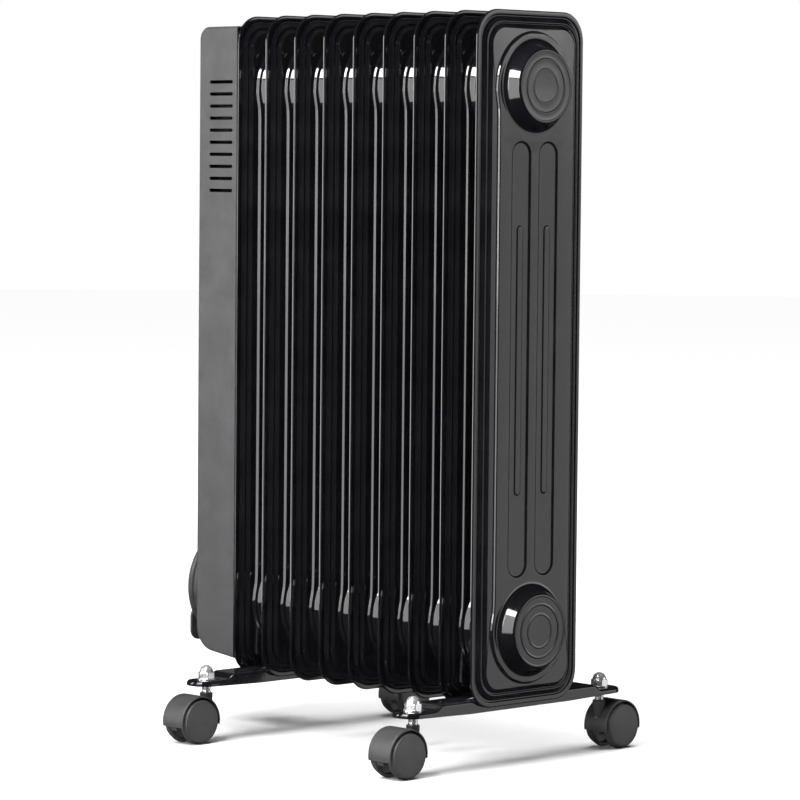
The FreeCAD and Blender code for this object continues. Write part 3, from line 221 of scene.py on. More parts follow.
def vary(material, socket, values, scale, detail=3.0):
    """Lets a socket drift between two values or colours with a noise pattern."""
    tree = material.node_tree
    ramp = tree.nodes.new("ShaderNodeValToRGB")
    for element, place, value in zip(ramp.color_ramp.elements, NOISE_SPAN, values):
        element.position = place
        element.color = (*value, 1) if isinstance(value, tuple) else (value, value, value, 1)
    tree.links.new(add_noise(tree, scale, detail), ramp.inputs["Fac"])
    tree.links.new(ramp.outputs["Color"], tree.nodes["Principled BSDF"].inputs[socket])


def add_bump(material, *layers):
    """Fine relief from layers of (noise scale, height in metres, detail)."""
    tree = material.node_tree
    below = None
    for scale, height, detail in layers:
        bump = tree.nodes.new("ShaderNodeBump")
        bump.inputs["Strength"].default_value = 1.0
        bump.inputs["Distance"].default_value = height
        tree.links.new(add_noise(tree, scale, detail), bump.inputs["Height"])
        if below:
            tree.links.new(below.outputs["Normal"], bump.inputs["Normal"])
        below = bump
    tree.links.new(below.outputs["Normal"], tree.nodes["Principled BSDF"].inputs["Normal"])


def floor_paint():
    """Pale floor that glows white away from the heater, so that it has no visible end."""
    paint = new_material("floor_paint", (0.8, 0.8, 0.8), 0.9, Specular_IOR_Level=0.1, Emission_Strength=1.0)
    vary(paint, "Base Color", ((0.79, 0.79, 0.79), (0.82, 0.82, 0.82)), 3)
    tree = paint.node_tree
    distance = tree.nodes.new("ShaderNodeVectorMath")
    distance.operation = "LENGTH"
    place = tree.nodes.new("ShaderNodeTexCoord")
    tree.links.new(place.outputs["Object"], distance.inputs[0])
    fade = tree.nodes.new("ShaderNodeMapRange")
    fade.interpolation_type = "SMOOTHSTEP"
    fade.inputs["From Min"].default_value = GLOW_FROM
    fade.inputs["From Max"].default_value = GLOW_TO
    fade.inputs["To Max"].default_value = GLOW
    tree.links.new(distance.outputs["Value"], fade.inputs["Value"])
    tree.links.new(fade.outputs["Result"], tree.nodes["Principled BSDF"].inputs["Emission Color"])
    return paint


def stove_enamel(name):
    """Black stove enamel: deep gloss with a faint orange peel."""
    enamel = new_material(name, (0.004, 0.004, 0.005), 0.07, Coat_Weight=0.35, Coat_Roughness=0.02)
    vary(enamel, "Base Color", ((0.003, 0.003, 0.004), (0.006, 0.006, 0.007)), 30)
    vary(enamel, "Roughness", (0.05, 0.11), 14, 4)
    add_bump(enamel, (60, 0.00006, 1), (420, 0.000005, 2))
    return enamel


def housing_paint():
    """Dark grey powder coat with a fine grain."""
    paint = new_material("housing_paint", (0.03, 0.03, 0.031), 0.5)
    vary(paint, "Base Color", ((0.026, 0.026, 0.027), (0.034, 0.034, 0.035)), 45)
    vary(paint, "Roughness", (0.46, 0.56), 120)
    add_bump(paint, (1400, 0.00004, 2))
    return paint


def moulded_plastic(name, shade, roughness, grain=0.00004):
    """Spark eroded grain on a moulded part."""
    plastic = new_material(name, (shade, shade, shade * 1.02), roughness)
    vary(plastic, "Base Color", ((shade * 0.85,) * 3, (shade * 1.15,) * 3), 70)
    vary(plastic, "Roughness", (roughness - 0.06, roughness + 0.06), 160)
    add_bump(plastic, (1800, grain, 2))
    return plastic


def bright_metal(name, shade, rough_low, rough_high, scale=60, metallic=1.0):
    """Plated or bare metal. A little less than fully metallic, it stays pale where the room is dark."""
    metal = new_material(name, (shade, shade, shade * 1.01), rough_low, metallic)
    vary(metal, "Base Color", ((shade * 0.92,) * 3, (min(shade * 1.05, 1.0),) * 3), scale)
    vary(metal, "Roughness", (rough_low, rough_high), scale, 4)
    add_bump(metal, (scale * 6, 0.000006, 2))
    return metal


def cord_rubber():
    rubber = new_material("cord_rubber", (0.02, 0.02, 0.021), 0.5)
    vary(rubber, "Base Color", ((0.016, 0.016, 0.017), (0.026, 0.026, 0.027)), 60)
    vary(rubber, "Roughness", (0.42, 0.58), 90)
    add_bump(rubber, (900, 0.00003, 2))
    return rubber


def lamp_lens():
    lens = new_material("lamp_lens", (0.55, 0.05, 0.02), 0.15, Transmission_Weight=0.35)
    vary(lens, "Base Color", ((0.5, 0.04, 0.02), (0.6, 0.07, 0.03)), 200)
    add_bump(lens, (500, 0.00002, 1))
    return lens


enamel = stove_enamel("gloss_enamel")
bar_enamel = stove_enamel("bar_enamel")
grey_paint = housing_paint()
caster_plastic = moulded_plastic("caster_plastic", 0.032, 0.48)
wheel_plastic = moulded_plastic("wheel_plastic", 0.036, 0.42, 0.00003)
black_plastic = moulded_plastic("black_plastic", 0.02, 0.42)
knob_plastic = moulded_plastic("knob_plastic", 0.024, 0.3, 0.00002)
switch_plastic = moulded_plastic("switch_plastic", 0.6, 0.5)
mark_paint = moulded_plastic("mark_paint", 0.75, 0.5, 0.00001)
chrome = bright_metal("chrome", 0.85, 0.16, 0.26, metallic=0.82)
zinc = bright_metal("zinc", 0.6, 0.22, 0.4)
steel = bright_metal("steel", 0.5, 0.25, 0.42, 90)
sheath = cord_rubber()
lens = lamp_lens()


# ---------------------------------------------------------------- mesh building blocks

# points round a large and a small turned piece
LARGE_TURN, SMALL_TURN = 72, 32
# corners of a mesh closer than this, in metres, are one; a flat shorter than this, in millimetres, is none
SAME_PLACE, NO_FLAT = 0.000002, 0.01


class Shape:
    """Collects points and faces of one mesh, in millimetres about a place in metres."""

    def __init__(self):
        self.points = []
        self.faces = []

    def add(self, points):
        start = len(self.points)
        self.points.extend(Vector(point) for point in points)
        return list(range(start, len(self.points)))

    def bridge(self, one, two):
        """Faces between two closed rows with as many points each."""
        for i in range(len(one)):
            j = (i + 1) % len(one)
            self.faces.append((one[i], one[j], two[j], two[i]))

    def rows(self, rows):
        """A surface through closed rows of points; returns the indices of each row."""
        made = [self.add(row) for row in rows]
        for one, two in zip(made, made[1:]):
            self.bridge(one, two)
        return made

    def cap(self, row):
        self.faces.append(tuple(row))

    def cap_mirrored(self, row):
        """Closes a row whose points i and -1-i mirror each other."""
        for i in range(len(row) // 2 - 1):
            self.faces.append((row[i], row[i + 1], row[-2 - i], row[-1 - i]))

    def join(self, other, turn=Matrix()):
        """Takes in another shape, moved by a 4x4 matrix in millimetres."""
        start = len(self.points)
        self.points.extend(turn @ point for point in other.points)
        self.faces.extend(tuple(start + i for i in face) for face in other.faces)

    def mesh(self, name, sharp=40):
        """A Blender mesh, smooth but for edges above the sharp angle in degrees."""
        mesh = bpy.data.meshes.new(name)
        bm = bmesh.new()
        corners = [bm.verts.new(point * MM) for point in self.points]
        for face in self.faces:
            bm.faces.new([corners[i] for i in face])
        bmesh.ops.remove_doubles(bm, verts=bm.verts, dist=SAME_PLACE)
        bmesh.ops.recalc_face_normals(bm, faces=bm.faces)
        bm.to_mesh(mesh)
        bm.free()
        mesh.shade_smooth()
        mesh.set_sharp_from_angle(angle=math.radians(sharp))
        return mesh


def place_piece(name, mesh, material, body, place=(0, 0, 0), replaced=()):
    """Puts a mesh in the scene as a piece of the heater that rides on a CAD body."""
    piece = bpy.data.objects.new(name, mesh)
    bpy.context.scene.collection.objects.link(piece)
    piece.location = place
    if not mesh.materials:
        mesh.materials.append(material)
    weighted = piece.modifiers.new("weighted", "WEIGHTED_NORMAL")
    weighted.keep_sharp = True
    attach(piece, body)
    if replaced:
        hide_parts(*replaced)
    return piece


def paint(node, material):
    """Gives a CAD node that stays visible its material."""
    mesh = nodes[node].data
    mesh.materials.clear()
    mesh.materials.append(material)


def circle(radius, count):
    """(u, v) points round a circle."""
    return [(radius * math.cos(2 * math.pi * i / count), radius * math.sin(2 * math.pi * i / count))
            for i in range(count)]


def lathe(profile, count, axis="z"):
    """A closed surface turned from (radius, height) points; the first and last radius may be 0."""
    shape = Shape()
    rows = []
    for radius, height in profile:
        ring = [(0, 0)] if radius == 0 else circle(radius, count)
        rows.append(shape.add([(u, v, height) if axis == "z" else (height, u, v) for u, v in ring]))
    for one, two in zip(rows, rows[1:]):
        if len(one) == len(two):
            shape.bridge(one, two)
        else:
            tip, ring = (one, two) if len(one) == 1 else (two, one)
            shape.faces.extend((tip[0], ring[i], ring[(i + 1) % count]) for i in range(count))
    return shape


def outline(half_width, low, high, corner, sides=(), steps=8):
    """An upright rounded rectangle, from the middle of its top round by the +u side.

    Points i and -1-i mirror each other. sides are the fractions of the straight side that
    get a point. Outlines made with the same sides and steps can be bridged."""
    count = steps + 2
    flat = half_width - corner
    if flat > NO_FLAT:
        turns = [math.pi / 2 * (1 - i / steps) for i in range(steps + 1)]
        top = [(flat / 3, high)]
    else:
        turns = [math.pi * (count - 1 - i) / (2 * count - 1) for i in range(count)]
        top = []
    top += [(flat + corner * math.cos(turn), high - corner + corner * math.sin(turn)) for turn in turns]
    upper, lower = high - corner, low + corner
    side = [(half_width, upper + (lower - upper) * part) for part in sides]
    bottom = [(u, low + high - v) for u, v in reversed(top)]
    right = top + side + bottom
    return right + [(-u, v) for u, v in reversed(right)]


def stepped(start, steps, distance):
    """Height of a pressed profile: its start plus smooth steps of (from, to, rise)."""
    height = start
    for low, high, rise in steps:
        part = min(max((distance - low) / (high - low), 0), 1)
        height += rise * part * part * (3 - 2 * part)
    return height


def step_places(steps, parts=4):
    """Where a stepped profile needs a row: several on each step, one on each flat."""
    places = {round(low + (high - low) * i / parts, 4) for low, high, rise in steps for i in range(parts + 1)}
    return sorted(places)


# ---------------------------------------------------------------- oil vessel

# Heights of a fin's sheets are measured from its mid plane. The rim's steps are (from, to, rise), by the
# distance in from the fin's edge; they end at the panel.
RIM_EDGE = 0.35
RIM_STEPS = ((0, 0.9, 0.85), (3.4, 5.2, -0.75), (5.6, 9.6, 2.45), (10.0, 11.4, -0.6), (11.6, 15.3, 2.2))
OUTER_CORNER, PANEL_CORNER, BORDER = 24.0, 15.0, 15.5
PANEL_FACE = 4.5
COLLECTOR_INSET = 62.8
COLLECTORS = (COLLECTOR_INSET, fin_height - COLLECTOR_INSET)
# A field with round ends about the collectors rises from the panel: half widths at its foot and its top
STADIUM_FOOT, STADIUM_TOP, STADIUM_RISE = 43.2, 41.2, 2.5
STADIUM_FACE = PANEL_FACE + STADIUM_RISE
END_FOOT, END_TOP, WAIST_ROUND = 46.0, 44.0, 2.0
# Where the long sides have points, as far from a collector's height as the waist needs
WAIST_PLACES = (3, 6, 10, 14, 17, 20, 24, 30, 40)
SIDE_PARTS = [place / (COLLECTORS[1] - COLLECTORS[0]) for place in WAIST_PLACES]
SIDE_PARTS += [1 - part for part in reversed(SIDE_PARTS)]
# Two channels pressed into the field, with a rib along the middle of each
CHANNEL_MIDDLE, CHANNEL_HALF, CHANNEL_DEPTH, CHANNEL_WALL = 16.2, 11.8, 1.3, 2.4
CHANNEL_LOW, CHANNEL_HIGH = 107.0, 472.0
RIB_HALF, RIB_RISE, RIB_WALL = 4.2, 0.7, 1.6
RIB_LOW, RIB_HIGH = 176.0, 402.0
CORNER_STEPS, BOSS_STEPS = 10, 64
FILL_MARGIN = 0.05
# (radius, height above the mid plane): a wide boss and its neck between two fins
BOSS_PROFILE = ((42.8, 7.0), (42.2, 7.3), (41.7, 8.2), (40.6, 11.2), (39.9, 12.5), (38.6, 13.4), (36.8, 13.8),
                (30.0, 13.9), (25.2, 14.0), (24.0, 14.6), (23.3, 15.8), (23.0, 17.3), (22.5, 18.0),
                (21.9, 18.25))
# and the small boss on the side of the first fin that the mounting plate fits round
BACK_PROFILE = ((31.8, 7.0), (30.6, 7.3), (29.5, 8.1), (24.6, 12.2), (23.6, 13.2))


def fill_flat(shape, outer, holes):
    """Fills a flat ring of points around holes, each hole a row of indices with a test for its inside."""
    rows = [outer] + [row for row, inside in holes]
    used = [index for row in rows for index in row]
    flat = [Vector((shape.points[index].y, shape.points[index].z)) for index in used]
    edges = []
    start = 0
    for row in rows:
        edges += [(start + i, start + (i + 1) % len(row)) for i in range(len(row))]
        start += len(row)
    triangles = delaunay_2d_cdt(flat, edges, [], 1, 1e-6)
    for corners in triangles[2]:
        middle = sum((triangles[0][corner] for corner in corners), Vector((0, 0))) / len(corners)
        if not any(inside(middle) for row, inside in holes):
            shape.faces.append(tuple(used[triangles[3][corner][0]] for corner in corners))


def add_channel(shape, middle, sign):
    """A long pressed channel with a raised rib in it; returns its outer row."""
    rows = []
    face = STADIUM_FACE
    for half, low, high, wall, rise in (
            (CHANNEL_HALF, CHANNEL_LOW, CHANNEL_HIGH, CHANNEL_WALL, -CHANNEL_DEPTH),
            (RIB_HALF, RIB_LOW, RIB_HIGH, RIB_WALL, RIB_RISE)):
        step = ((0, wall, rise),)
        for inset in step_places(step):
            height = stepped(face, step, inset)
            loop = outline(half - inset, low + inset, high - inset, half - inset, steps=CORNER_STEPS)
            rows.append([(sign * height, u + middle, v) for u, v in loop])
        face += rise
    made = shape.rows(rows)
    shape.cap_mirrored(made[-1])
    return made[0]


def in_channel(middle):
    """A test for points inside a channel's outline."""
    def inside(point):
        height = min(max(point.y, CHANNEL_LOW + CHANNEL_HALF), CHANNEL_HIGH - CHANNEL_HALF)
        return math.hypot(point.x - middle, point.y - height) < CHANNEL_HALF - FILL_MARGIN
    return inside


def in_circle(radius, height):
    """A test for points inside a boss's outline."""
    return lambda point: math.hypot(point.x, point.y - height) < radius - FILL_MARGIN


def stadium_loop(part):
    """Two round ends about the collectors, drawn in to a slightly narrower waist."""
    half = STADIUM_FOOT + (STADIUM_TOP - STADIUM_FOOT) * part
    end = END_FOOT + (END_TOP - END_FOOT) * part
    low, high = COLLECTORS
    loop = []
    for u, v in outline(end, low - end, high + end, end, SIDE_PARTS, steps=CORNER_STEPS):
        if low < v < high:
            past = min(v - low, high - v)
            over = math.sqrt(max(end * end - past * past, 0)) - half
            u = math.copysign(half + (over + math.hypot(over, WAIST_ROUND)) / 2, u)
        loop.append((u, v))
    return loop


def add_fin_face(shape, sign, profile):
    """One pressed sheet, from the welded rim to the collector necks; returns its outermost row."""
    rows = []
    for inset in step_places(RIM_STEPS):
        corner = OUTER_CORNER - (OUTER_CORNER - PANEL_CORNER) * min(inset / BORDER, 1)
        height = stepped(RIM_EDGE, RIM_STEPS, inset)
        loop = outline(fin_half_width - inset, inset, fin_height - inset, corner, SIDE_PARTS,
                       steps=CORNER_STEPS)
        rows.append([(sign * height, u, v) for u, v in loop])
    for part in (0, 0.2, 0.4, 0.6, 0.8, 1):
        height = stepped(PANEL_FACE, ((0, 1, STADIUM_RISE),), part)
        rows.append([(sign * height, u, v) for u, v in stadium_loop(part)])
    made = shape.rows(rows)
    holes = []
    for middle in (-CHANNEL_MIDDLE, CHANNEL_MIDDLE):
        holes.append((add_channel(shape, middle, sign), in_channel(middle)))
    for height in COLLECTORS if profile else ():
        boss = shape.rows([[(sign * x, u, v + height) for u, v in circle(radius, BOSS_STEPS)]
                           for radius, x in profile])
        shape.cap(boss[-1])
        holes.append((boss[0], in_circle(profile[0][0], height)))
    fill_flat(shape, made[-1], holes)
    return made[0]


def fin_mesh(name, back_profile, front_profile):
    shape = Shape()
    back = add_fin_face(shape, -1, back_profile)
    front = add_fin_face(shape, 1, front_profile)
    shape.bridge(back, front)
    return shape.mesh(name)


def make_fins():
    inner = fin_mesh("fin_between", BOSS_PROFILE, BOSS_PROFILE)
    first = fin_mesh("fin_first", BACK_PROFILE, BOSS_PROFILE)
    last = fin_mesh("fin_last", BOSS_PROFILE, ())
    for i, x in enumerate(fin_x, start=1):
        mesh = first if i == 1 else last if i == len(fin_x) else inner
        place_piece(f"pressed_fin_{i}", mesh, enamel, "heater", (x, 0, fin_low), [f"fin_{i}"])


# (radius, height above the fin's mid plane) of a cup's hollow foot, cone and rounded rim
CUP_SIDE = [(0, 7.0), (40.5, 7.0), (39.3, 7.12), (38.2, 7.4), (37.3, 7.9), (36.6, 8.6), (36.0, 9.5),
            (35.4, 10.6), (32.0, 17.3), (31.5, 18.0), (30.9, 18.5), (30.2, 18.8), (29.4, 18.85), (28.7, 18.7)]
CUP_DISC, CUP_FACE = 28.2, 18.5


def raised_ring(radius, rise):
    """A low ring pressed into a cup's disc, from its outer foot to its inner one."""
    half = [(1.5, 0), (0.9, 0.1), (0.3, rise)]
    outer = [(radius + out, CUP_FACE + up) for out, up in half]
    inner = [(radius - out, CUP_FACE + up) for out, up in reversed(half)]
    return outer + inner


def make_end_cups():
    disc = [(CUP_DISC, CUP_FACE)] + raised_ring(22.4, 0.32) + raised_ring(14.1, 0.28) + [(0, CUP_FACE)]
    for node in ("upper_end_cup", "lower_end_cup"):
        low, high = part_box(node)
        place = (fin_x[-1], 0, (low.z + high.z) / 2)
        shape = lathe(CUP_SIDE + disc, LARGE_TURN, axis="x")
        place_piece(f"pressed_{node}", shape.mesh(node, 60), enamel, "heater", place, [node])


# ---------------------------------------------------------------- foot bars

BAR_HALF_WIDTH, BAR_HALF_LENGTH, BAR_SHEET = 14.0, 131.0, 2.0
BAR_CORNER, BAR_LEAST_CORNER = 13.0, 0.3
# heights of the pads at the ends, of the middle part's top and of its lower edge
BAR_PAD, BAR_TOP, BAR_LOW = 54.2, 59.2, 48.0
# how far out the top steps down to the pads, and where the raised rib fades out
BAR_STEP_FROM, BAR_STEP_TO = 91, 101
BAR_FADE_FROM, BAR_FADE_TO = 80, 91
# how far out the lower edge starts to rise, and by how much it rises up to a place past the end
BAR_RISE_FROM, BAR_RISE_TO, BAR_RISE = 60, 133, 1.8
BAR_STRAIGHT = BAR_HALF_LENGTH - BAR_CORNER
BAR_STATIONS = (110, 101, 99, 97, 95, 93, 91, 88, 84, 80, 60, 20)
BAR_SIDES = [(BAR_STRAIGHT - y) / (2 * BAR_STRAIGHT)
             for y in BAR_STATIONS + tuple(-y for y in reversed(BAR_STATIONS))]
# (distance in from the bar's outline, height above its top): the rounded shoulder, then the rib
BAR_SHOULDER = ((0, -2.6), (0.15, -1.7), (0.7, -0.75), (1.6, -0.2), (2.8, 0))
BAR_RIB = ((6.6, 0), (7.2, 0.25), (8.1, 0.95), (8.9, 1.2), (13.2, 1.2))


def bar_top(y):
    return stepped(BAR_TOP, ((BAR_STEP_FROM, BAR_STEP_TO, BAR_PAD - BAR_TOP),), abs(y))


def bar_bottom(y):
    return BAR_LOW + BAR_RISE * max(abs(y) - BAR_RISE_FROM, 0) / (BAR_RISE_TO - BAR_RISE_FROM)


def bar_row(inset, height_of):
    loop = outline(BAR_HALF_WIDTH - inset, inset - BAR_HALF_LENGTH, BAR_HALF_LENGTH - inset,
                   max(BAR_CORNER - inset, BAR_LEAST_CORNER), BAR_SIDES)
    return [(u, v, height_of(v)) for u, v in loop]


def bar_skin(depth):
    """Rows of one side of the sheet, from its lower edge to the middle of its top."""
    rows = [bar_row(depth, bar_bottom)]
    for inset, rise in BAR_SHOULDER:
        rows.append(bar_row(inset + depth, lambda y: bar_top(y) - depth + rise))
    fade = ((BAR_FADE_FROM, BAR_FADE_TO, -1),)
    for inset, rise in BAR_RIB:
        rows.append(bar_row(inset, lambda y: bar_top(y) - depth + rise * stepped(1, fade, abs(y))))
    return rows


def make_foot_bars():
    for node in ("foot_bar_near", "foot_bar_far"):
        low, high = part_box(node)
        shape = Shape()
        inner, outer = bar_skin(BAR_SHEET), bar_skin(0)
        made = shape.rows(inner[::-1] + outer)
        shape.cap_mirrored(made[0])
        shape.cap_mirrored(made[-1])
        place_piece(f"pressed_{node}", shape.mesh(node, 50), bar_enamel, "heater",
                    ((low.x + high.x) / 2, 0, 0), [node])


# ---------------------------------------------------------------- cap nuts, washers and stems

STEM_SPREAD = 0.1135
NUT_FLATS, NUT_LOW, NUT_HEIGHT, NUT_DOME = 13.0, 55.4, 5.5, 5.9
NUT_STEPS, DOME_STEPS, WASHER_STEPS = 72, 10, 48
# (radius, height) with the stem's ends, its collar below the bar and turned grooves
STEM_PROFILE = ((0, 25), (3.4, 25), (3.9, 25.6), (3.9, 44.4), (3.6, 44.8), (3.6, 45.4), (3.9, 45.8),
                (3.9, 50.2), (5.4, 50.3), (5.6, 50.6), (5.6, 51.9), (5.4, 52.2), (3.9, 52.2), (3.9, 61.4),
                (3.4, 62), (0, 62))
WASHER_PROFILE = ((4.1, 54.2), (7.8, 54.2), (8, 54.4), (8, 55.1), (7.7, 55.4), (4.1, 55.4))


def cap_nut():
    """A hexagon with chamfered corners under a polished dome."""
    count = NUT_STEPS
    sixth = math.pi / 3

    def ring(limit, height):
        points = []
        for i in range(count):
            angle = 2 * math.pi * i / count
            radius = min(NUT_FLATS / 2 / math.cos((angle + sixth / 2) % sixth - sixth / 2), limit)
            points.append((radius * math.cos(angle), radius * math.sin(angle), height))
        return points

    corner = NUT_FLATS / math.sqrt(3)
    top = NUT_LOW + NUT_HEIGHT
    rows = [ring(6.2, NUT_LOW), ring(6.9, NUT_LOW), ring(corner - 0.15, NUT_LOW + 0.5),
            ring(corner - 0.1, top - 1.1), ring(7.0, top - 0.5), ring(6.45, top - 0.12),
            ring(NUT_DOME + 0.25, top)]
    for i in range(DOME_STEPS):
        tilt = math.pi / 2 * i / DOME_STEPS
        radius, height = NUT_DOME * math.cos(tilt), top + NUT_DOME * math.sin(tilt)
        rows.append([(x, y, height) for x, y in circle(radius, count)])
    shape = Shape()
    made = shape.rows(rows)
    shape.cap(made[0])
    tip = shape.add([(0, 0, top + NUT_DOME)])[0]
    last = made[-1]
    shape.faces.extend((last[i], last[(i + 1) % count], tip) for i in range(count))
    return shape


def washer():
    """A turned ring, its bore closed between the profile's last and first points."""
    shape = lathe(WASHER_PROFILE, WASHER_STEPS)
    count = len(shape.points)
    shape.bridge(range(count - WASHER_STEPS, count), range(WASHER_STEPS))
    return shape


def caster_places():
    """Each caster's stem axis on the floor, and the side of the heater it is on."""
    places = []
    for number in CASTER_NUMBERS:
        low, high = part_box(f"caster_axle_{number}")
        side = 1 if low.y > 0 else -1
        places.append((number, (low.x + high.x) / 2, side * STEM_SPREAD, side))
    return places


def make_stem_hardware():
    for node, part, sharp in (("caster_stems", lathe(STEM_PROFILE, SMALL_TURN), 40),
                              ("stem_washers", washer(), 40),
                              ("cap_nuts", cap_nut(), 28)):
        shape = Shape()
        for number, x, y, side in caster_places():
            shape.join(part, Matrix.Translation((x / MM, y / MM, 0)))
        place_piece(f"turned_{node}", shape.mesh(node, sharp), chrome, "heater",
                    replaced=[node])


# ---------------------------------------------------------------- casters

TRAIL, AXLE_HEIGHT = 17.0, 20.0
# the angles round the axle, in degrees, between which the hood and its web reach
HOOD_ARC, WEB_ARC, ARC_STEPS = (-10.4, 190.4), (-20, 200), 40
# (distance from the hood's middle, radius about the axle)
HOOD_SECTION = ((-13, 20.9), (-13, 21.5), (-12.6, 22.0), (-11.8, 22.2), (11.8, 22.2), (12.6, 22.0),
                (13, 21.5), (13, 20.9))
WEB_HALF, WEB_RADIUS = 3.6, 21.2
# (radius, height) of the stem's socket, and (radius, distance from the hood's middle) of the axle's boss
SOCKET_PROFILE = ((0, 43), (4.3, 43), (5.2, 42.9), (5.6, 42.5), (5.6, 39.4), (5.3, 35), (4.4, 30), (3.2, 25),
                  (0, 24))
AXLE_BOSS_PROFILE = ((0, -6.4), (4.6, -6.4), (5, -6), (5, 6), (4.6, 6.4), (0, 6.4))
# (radius, distance from the hood's middle) of a wheel, from its bore round to the middle of its face
WHEEL_PROFILE = ((0, 12.4), (2.05, 12.4), (2.05, 7.0), (4.4, 7.0), (4.6, 7.3), (4.6, 11.6), (5.2, 12.0),
                 (16.2, 11.6), (16.8, 11.2), (17.0, 7.6), (17.3, 7.2), (19.0, 7.2), (19.7, 7.6), (20, 8.4),
                 (20, 9.9), (19.8, 10.5), (19.2, 11.1), (18.7, 11.8), (18.5, 12.6), (18.45, 13.7),
                 (18.2, 14.3), (17.6, 14.65), (16.6, 14.8), (13, 14.98), (8, 15.2), (4, 15.33), (0, 15.38))


def axle_arc(radius, ends):
    """(y, z) points round the axle, between two angles in degrees."""
    points = []
    for i in range(ARC_STEPS + 1):
        angle = math.radians(ends[0] + (ends[1] - ends[0]) * i / ARC_STEPS)
        points.append((TRAIL + radius * math.cos(angle), AXLE_HEIGHT + radius * math.sin(angle)))
    return points


def hood_shape():
    """A half round hood with a web between the wheels and a collar for the stem."""
    shape = Shape()
    arcs = [[(x, y, z) for y, z in axle_arc(radius, HOOD_ARC)] for x, radius in HOOD_SECTION]
    hood = shape.rows(list(zip(*arcs)))
    web = axle_arc(WEB_RADIUS, WEB_ARC)
    sides = shape.rows([[(x, y, z) for y, z in web] for x in (-WEB_HALF, WEB_HALF)])
    for ends in (hood, sides):
        shape.cap(ends[0])
        shape.cap(ends[-1][::-1])
    boss = lathe(AXLE_BOSS_PROFILE, SMALL_TURN, axis="x")
    shape.join(boss, Matrix.Translation((0, TRAIL, AXLE_HEIGHT)))
    shape.join(lathe(SOCKET_PROFILE, SMALL_TURN))
    return shape


def make_casters():
    hood = hood_shape().mesh("hood", 42)
    wheel = lathe(WHEEL_PROFILE, LARGE_TURN, axis="x").mesh("wheel", 50)
    for number, x, y, side in caster_places():
        turn = 0 if side > 0 else math.pi
        piece = place_piece(f"moulded_hood_{number}", hood, caster_plastic, f"caster_{number}",
                            replaced=[f"caster_hood_{number}"])
        piece.matrix_world = Matrix.Translation((x, y, 0)) @ Matrix.Rotation(turn, 4, "Z")
        axle = (x, y + side * TRAIL * MM, AXLE_HEIGHT * MM)
        for letter, facing in (("a", 0), ("b", math.pi)):
            name = f"wheel_{number}{letter}"
            piece = place_piece(f"moulded_{name}", wheel, wheel_plastic, name,
                                replaced=[f"caster_{name}"])
            piece.matrix_world = Matrix.Translation(axle) @ Matrix.Rotation(facing, 4, "Z")
        paint(f"caster_axle_{number}", zinc)


# ---------------------------------------------------------------- cord

CORD_DIAMETER = 0.0066
CORD_EXIT = Vector((face_x - 0.0065, 0.035, winder_z + 0.072))
# The routes in and out: stand-off from the housing, Y, height above the winder's middle
LEAD_IN = ((0.0065, 0.035, 0.072), (0.0065, 0.035, 0.055), (0.0068, 0.035, 0.038), (0.0085, 0.0352, 0.02))
LEAD_OUT = ((0.0205, -0.016, 0.0475), (0.0205, 0.001, 0.0558), (0.021, 0.018, 0.061), (0.0225, 0.037, 0.0625),
            (0.0245, 0.056, 0.0585), (0.027, 0.072, 0.047), (0.0295, 0.081, 0.0295), (0.032, 0.0805, 0.010),
            (0.034, 0.071, -0.0065), (0.0354, 0.0545, -0.015), (0.0359, 0.0355, -0.015))
# Each turn's radius and stand-off; the cord crosses from one to the next within a share of a turn
TURN_RADII = (0.035, 0.035, 0.042, 0.042, 0.049, 0.049)
TURN_OFFSETS = (0.0135, 0.0205, 0.0205, 0.0135, 0.0135, 0.0205)
CROSSING_ANGLE, CROSSING_SHARE = math.radians(60), 1 / 6
FIRST_OFFSET = 0.0105
LAST_ANGLE = math.radians(225)
POINTS_PER_TURN = 16


def cord_points():
    """Down from the strain relief, six turns round the hub, and the loop to the plug."""
    points = list(LEAD_IN)
    step = 2 * math.pi / POINTS_PER_TURN
    outward = 1 / math.cos(step / 2)
    last_turn = len(TURN_RADII) - 1
    angle = 0.0
    while angle < 2 * math.pi * last_turn + LAST_ANGLE:
        turn = (angle - CROSSING_ANGLE) / (2 * math.pi)
        cell = min(max(math.floor(turn), 0), last_turn)
        before = max(cell - 1, 0)
        part = min(max((turn - cell) / CROSSING_SHARE, 0), 1)
        ease = part * part * (3 - 2 * part)
        radius = TURN_RADII[before] * (1 - ease) + TURN_RADII[cell] * ease
        offset = TURN_OFFSETS[before] * (1 - ease) + TURN_OFFSETS[cell] * ease
        if angle < math.pi / 2:
            offset += (FIRST_OFFSET - offset) * (1 - angle / (math.pi / 2))
        points.append((offset, radius * outward * math.cos(angle), -radius * outward * math.sin(angle)))
        angle += step
    points.extend(LEAD_OUT)
    return [(face_x - offset, y, winder_z + height) for offset, y, height in points]


def make_cord():
    points = cord_points()
    curve = bpy.data.curves.new("mains_cord", "CURVE")
    curve.dimensions = "3D"
    curve.bevel_depth = CORD_DIAMETER / 2
    curve.bevel_resolution = 6
    curve.use_fill_caps = True
    spline = curve.splines.new("NURBS")
    spline.points.add(len(points) - 1)
    for point, place in zip(spline.points, points):
        point.co = (*place, 1)
    spline.order_u = 3
    spline.use_endpoint_u = True
    spline.resolution_u = 6
    curve.materials.append(sheath)
    cord = bpy.data.objects.new("mains_cord", curve)
    bpy.context.scene.collection.objects.link(cord)
    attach(cord, "heater")
    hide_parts("cord_lead_in", "cord_coil", "cord_lead_out")
    return cord


# ---------------------------------------------------------------- gland and plug

GLAND_HALF_WIDTH, GLAND_HEIGHT, GLAND_DEPTH, GLAND_CORNER = 8.0, 25.0, 13.0, 4.0
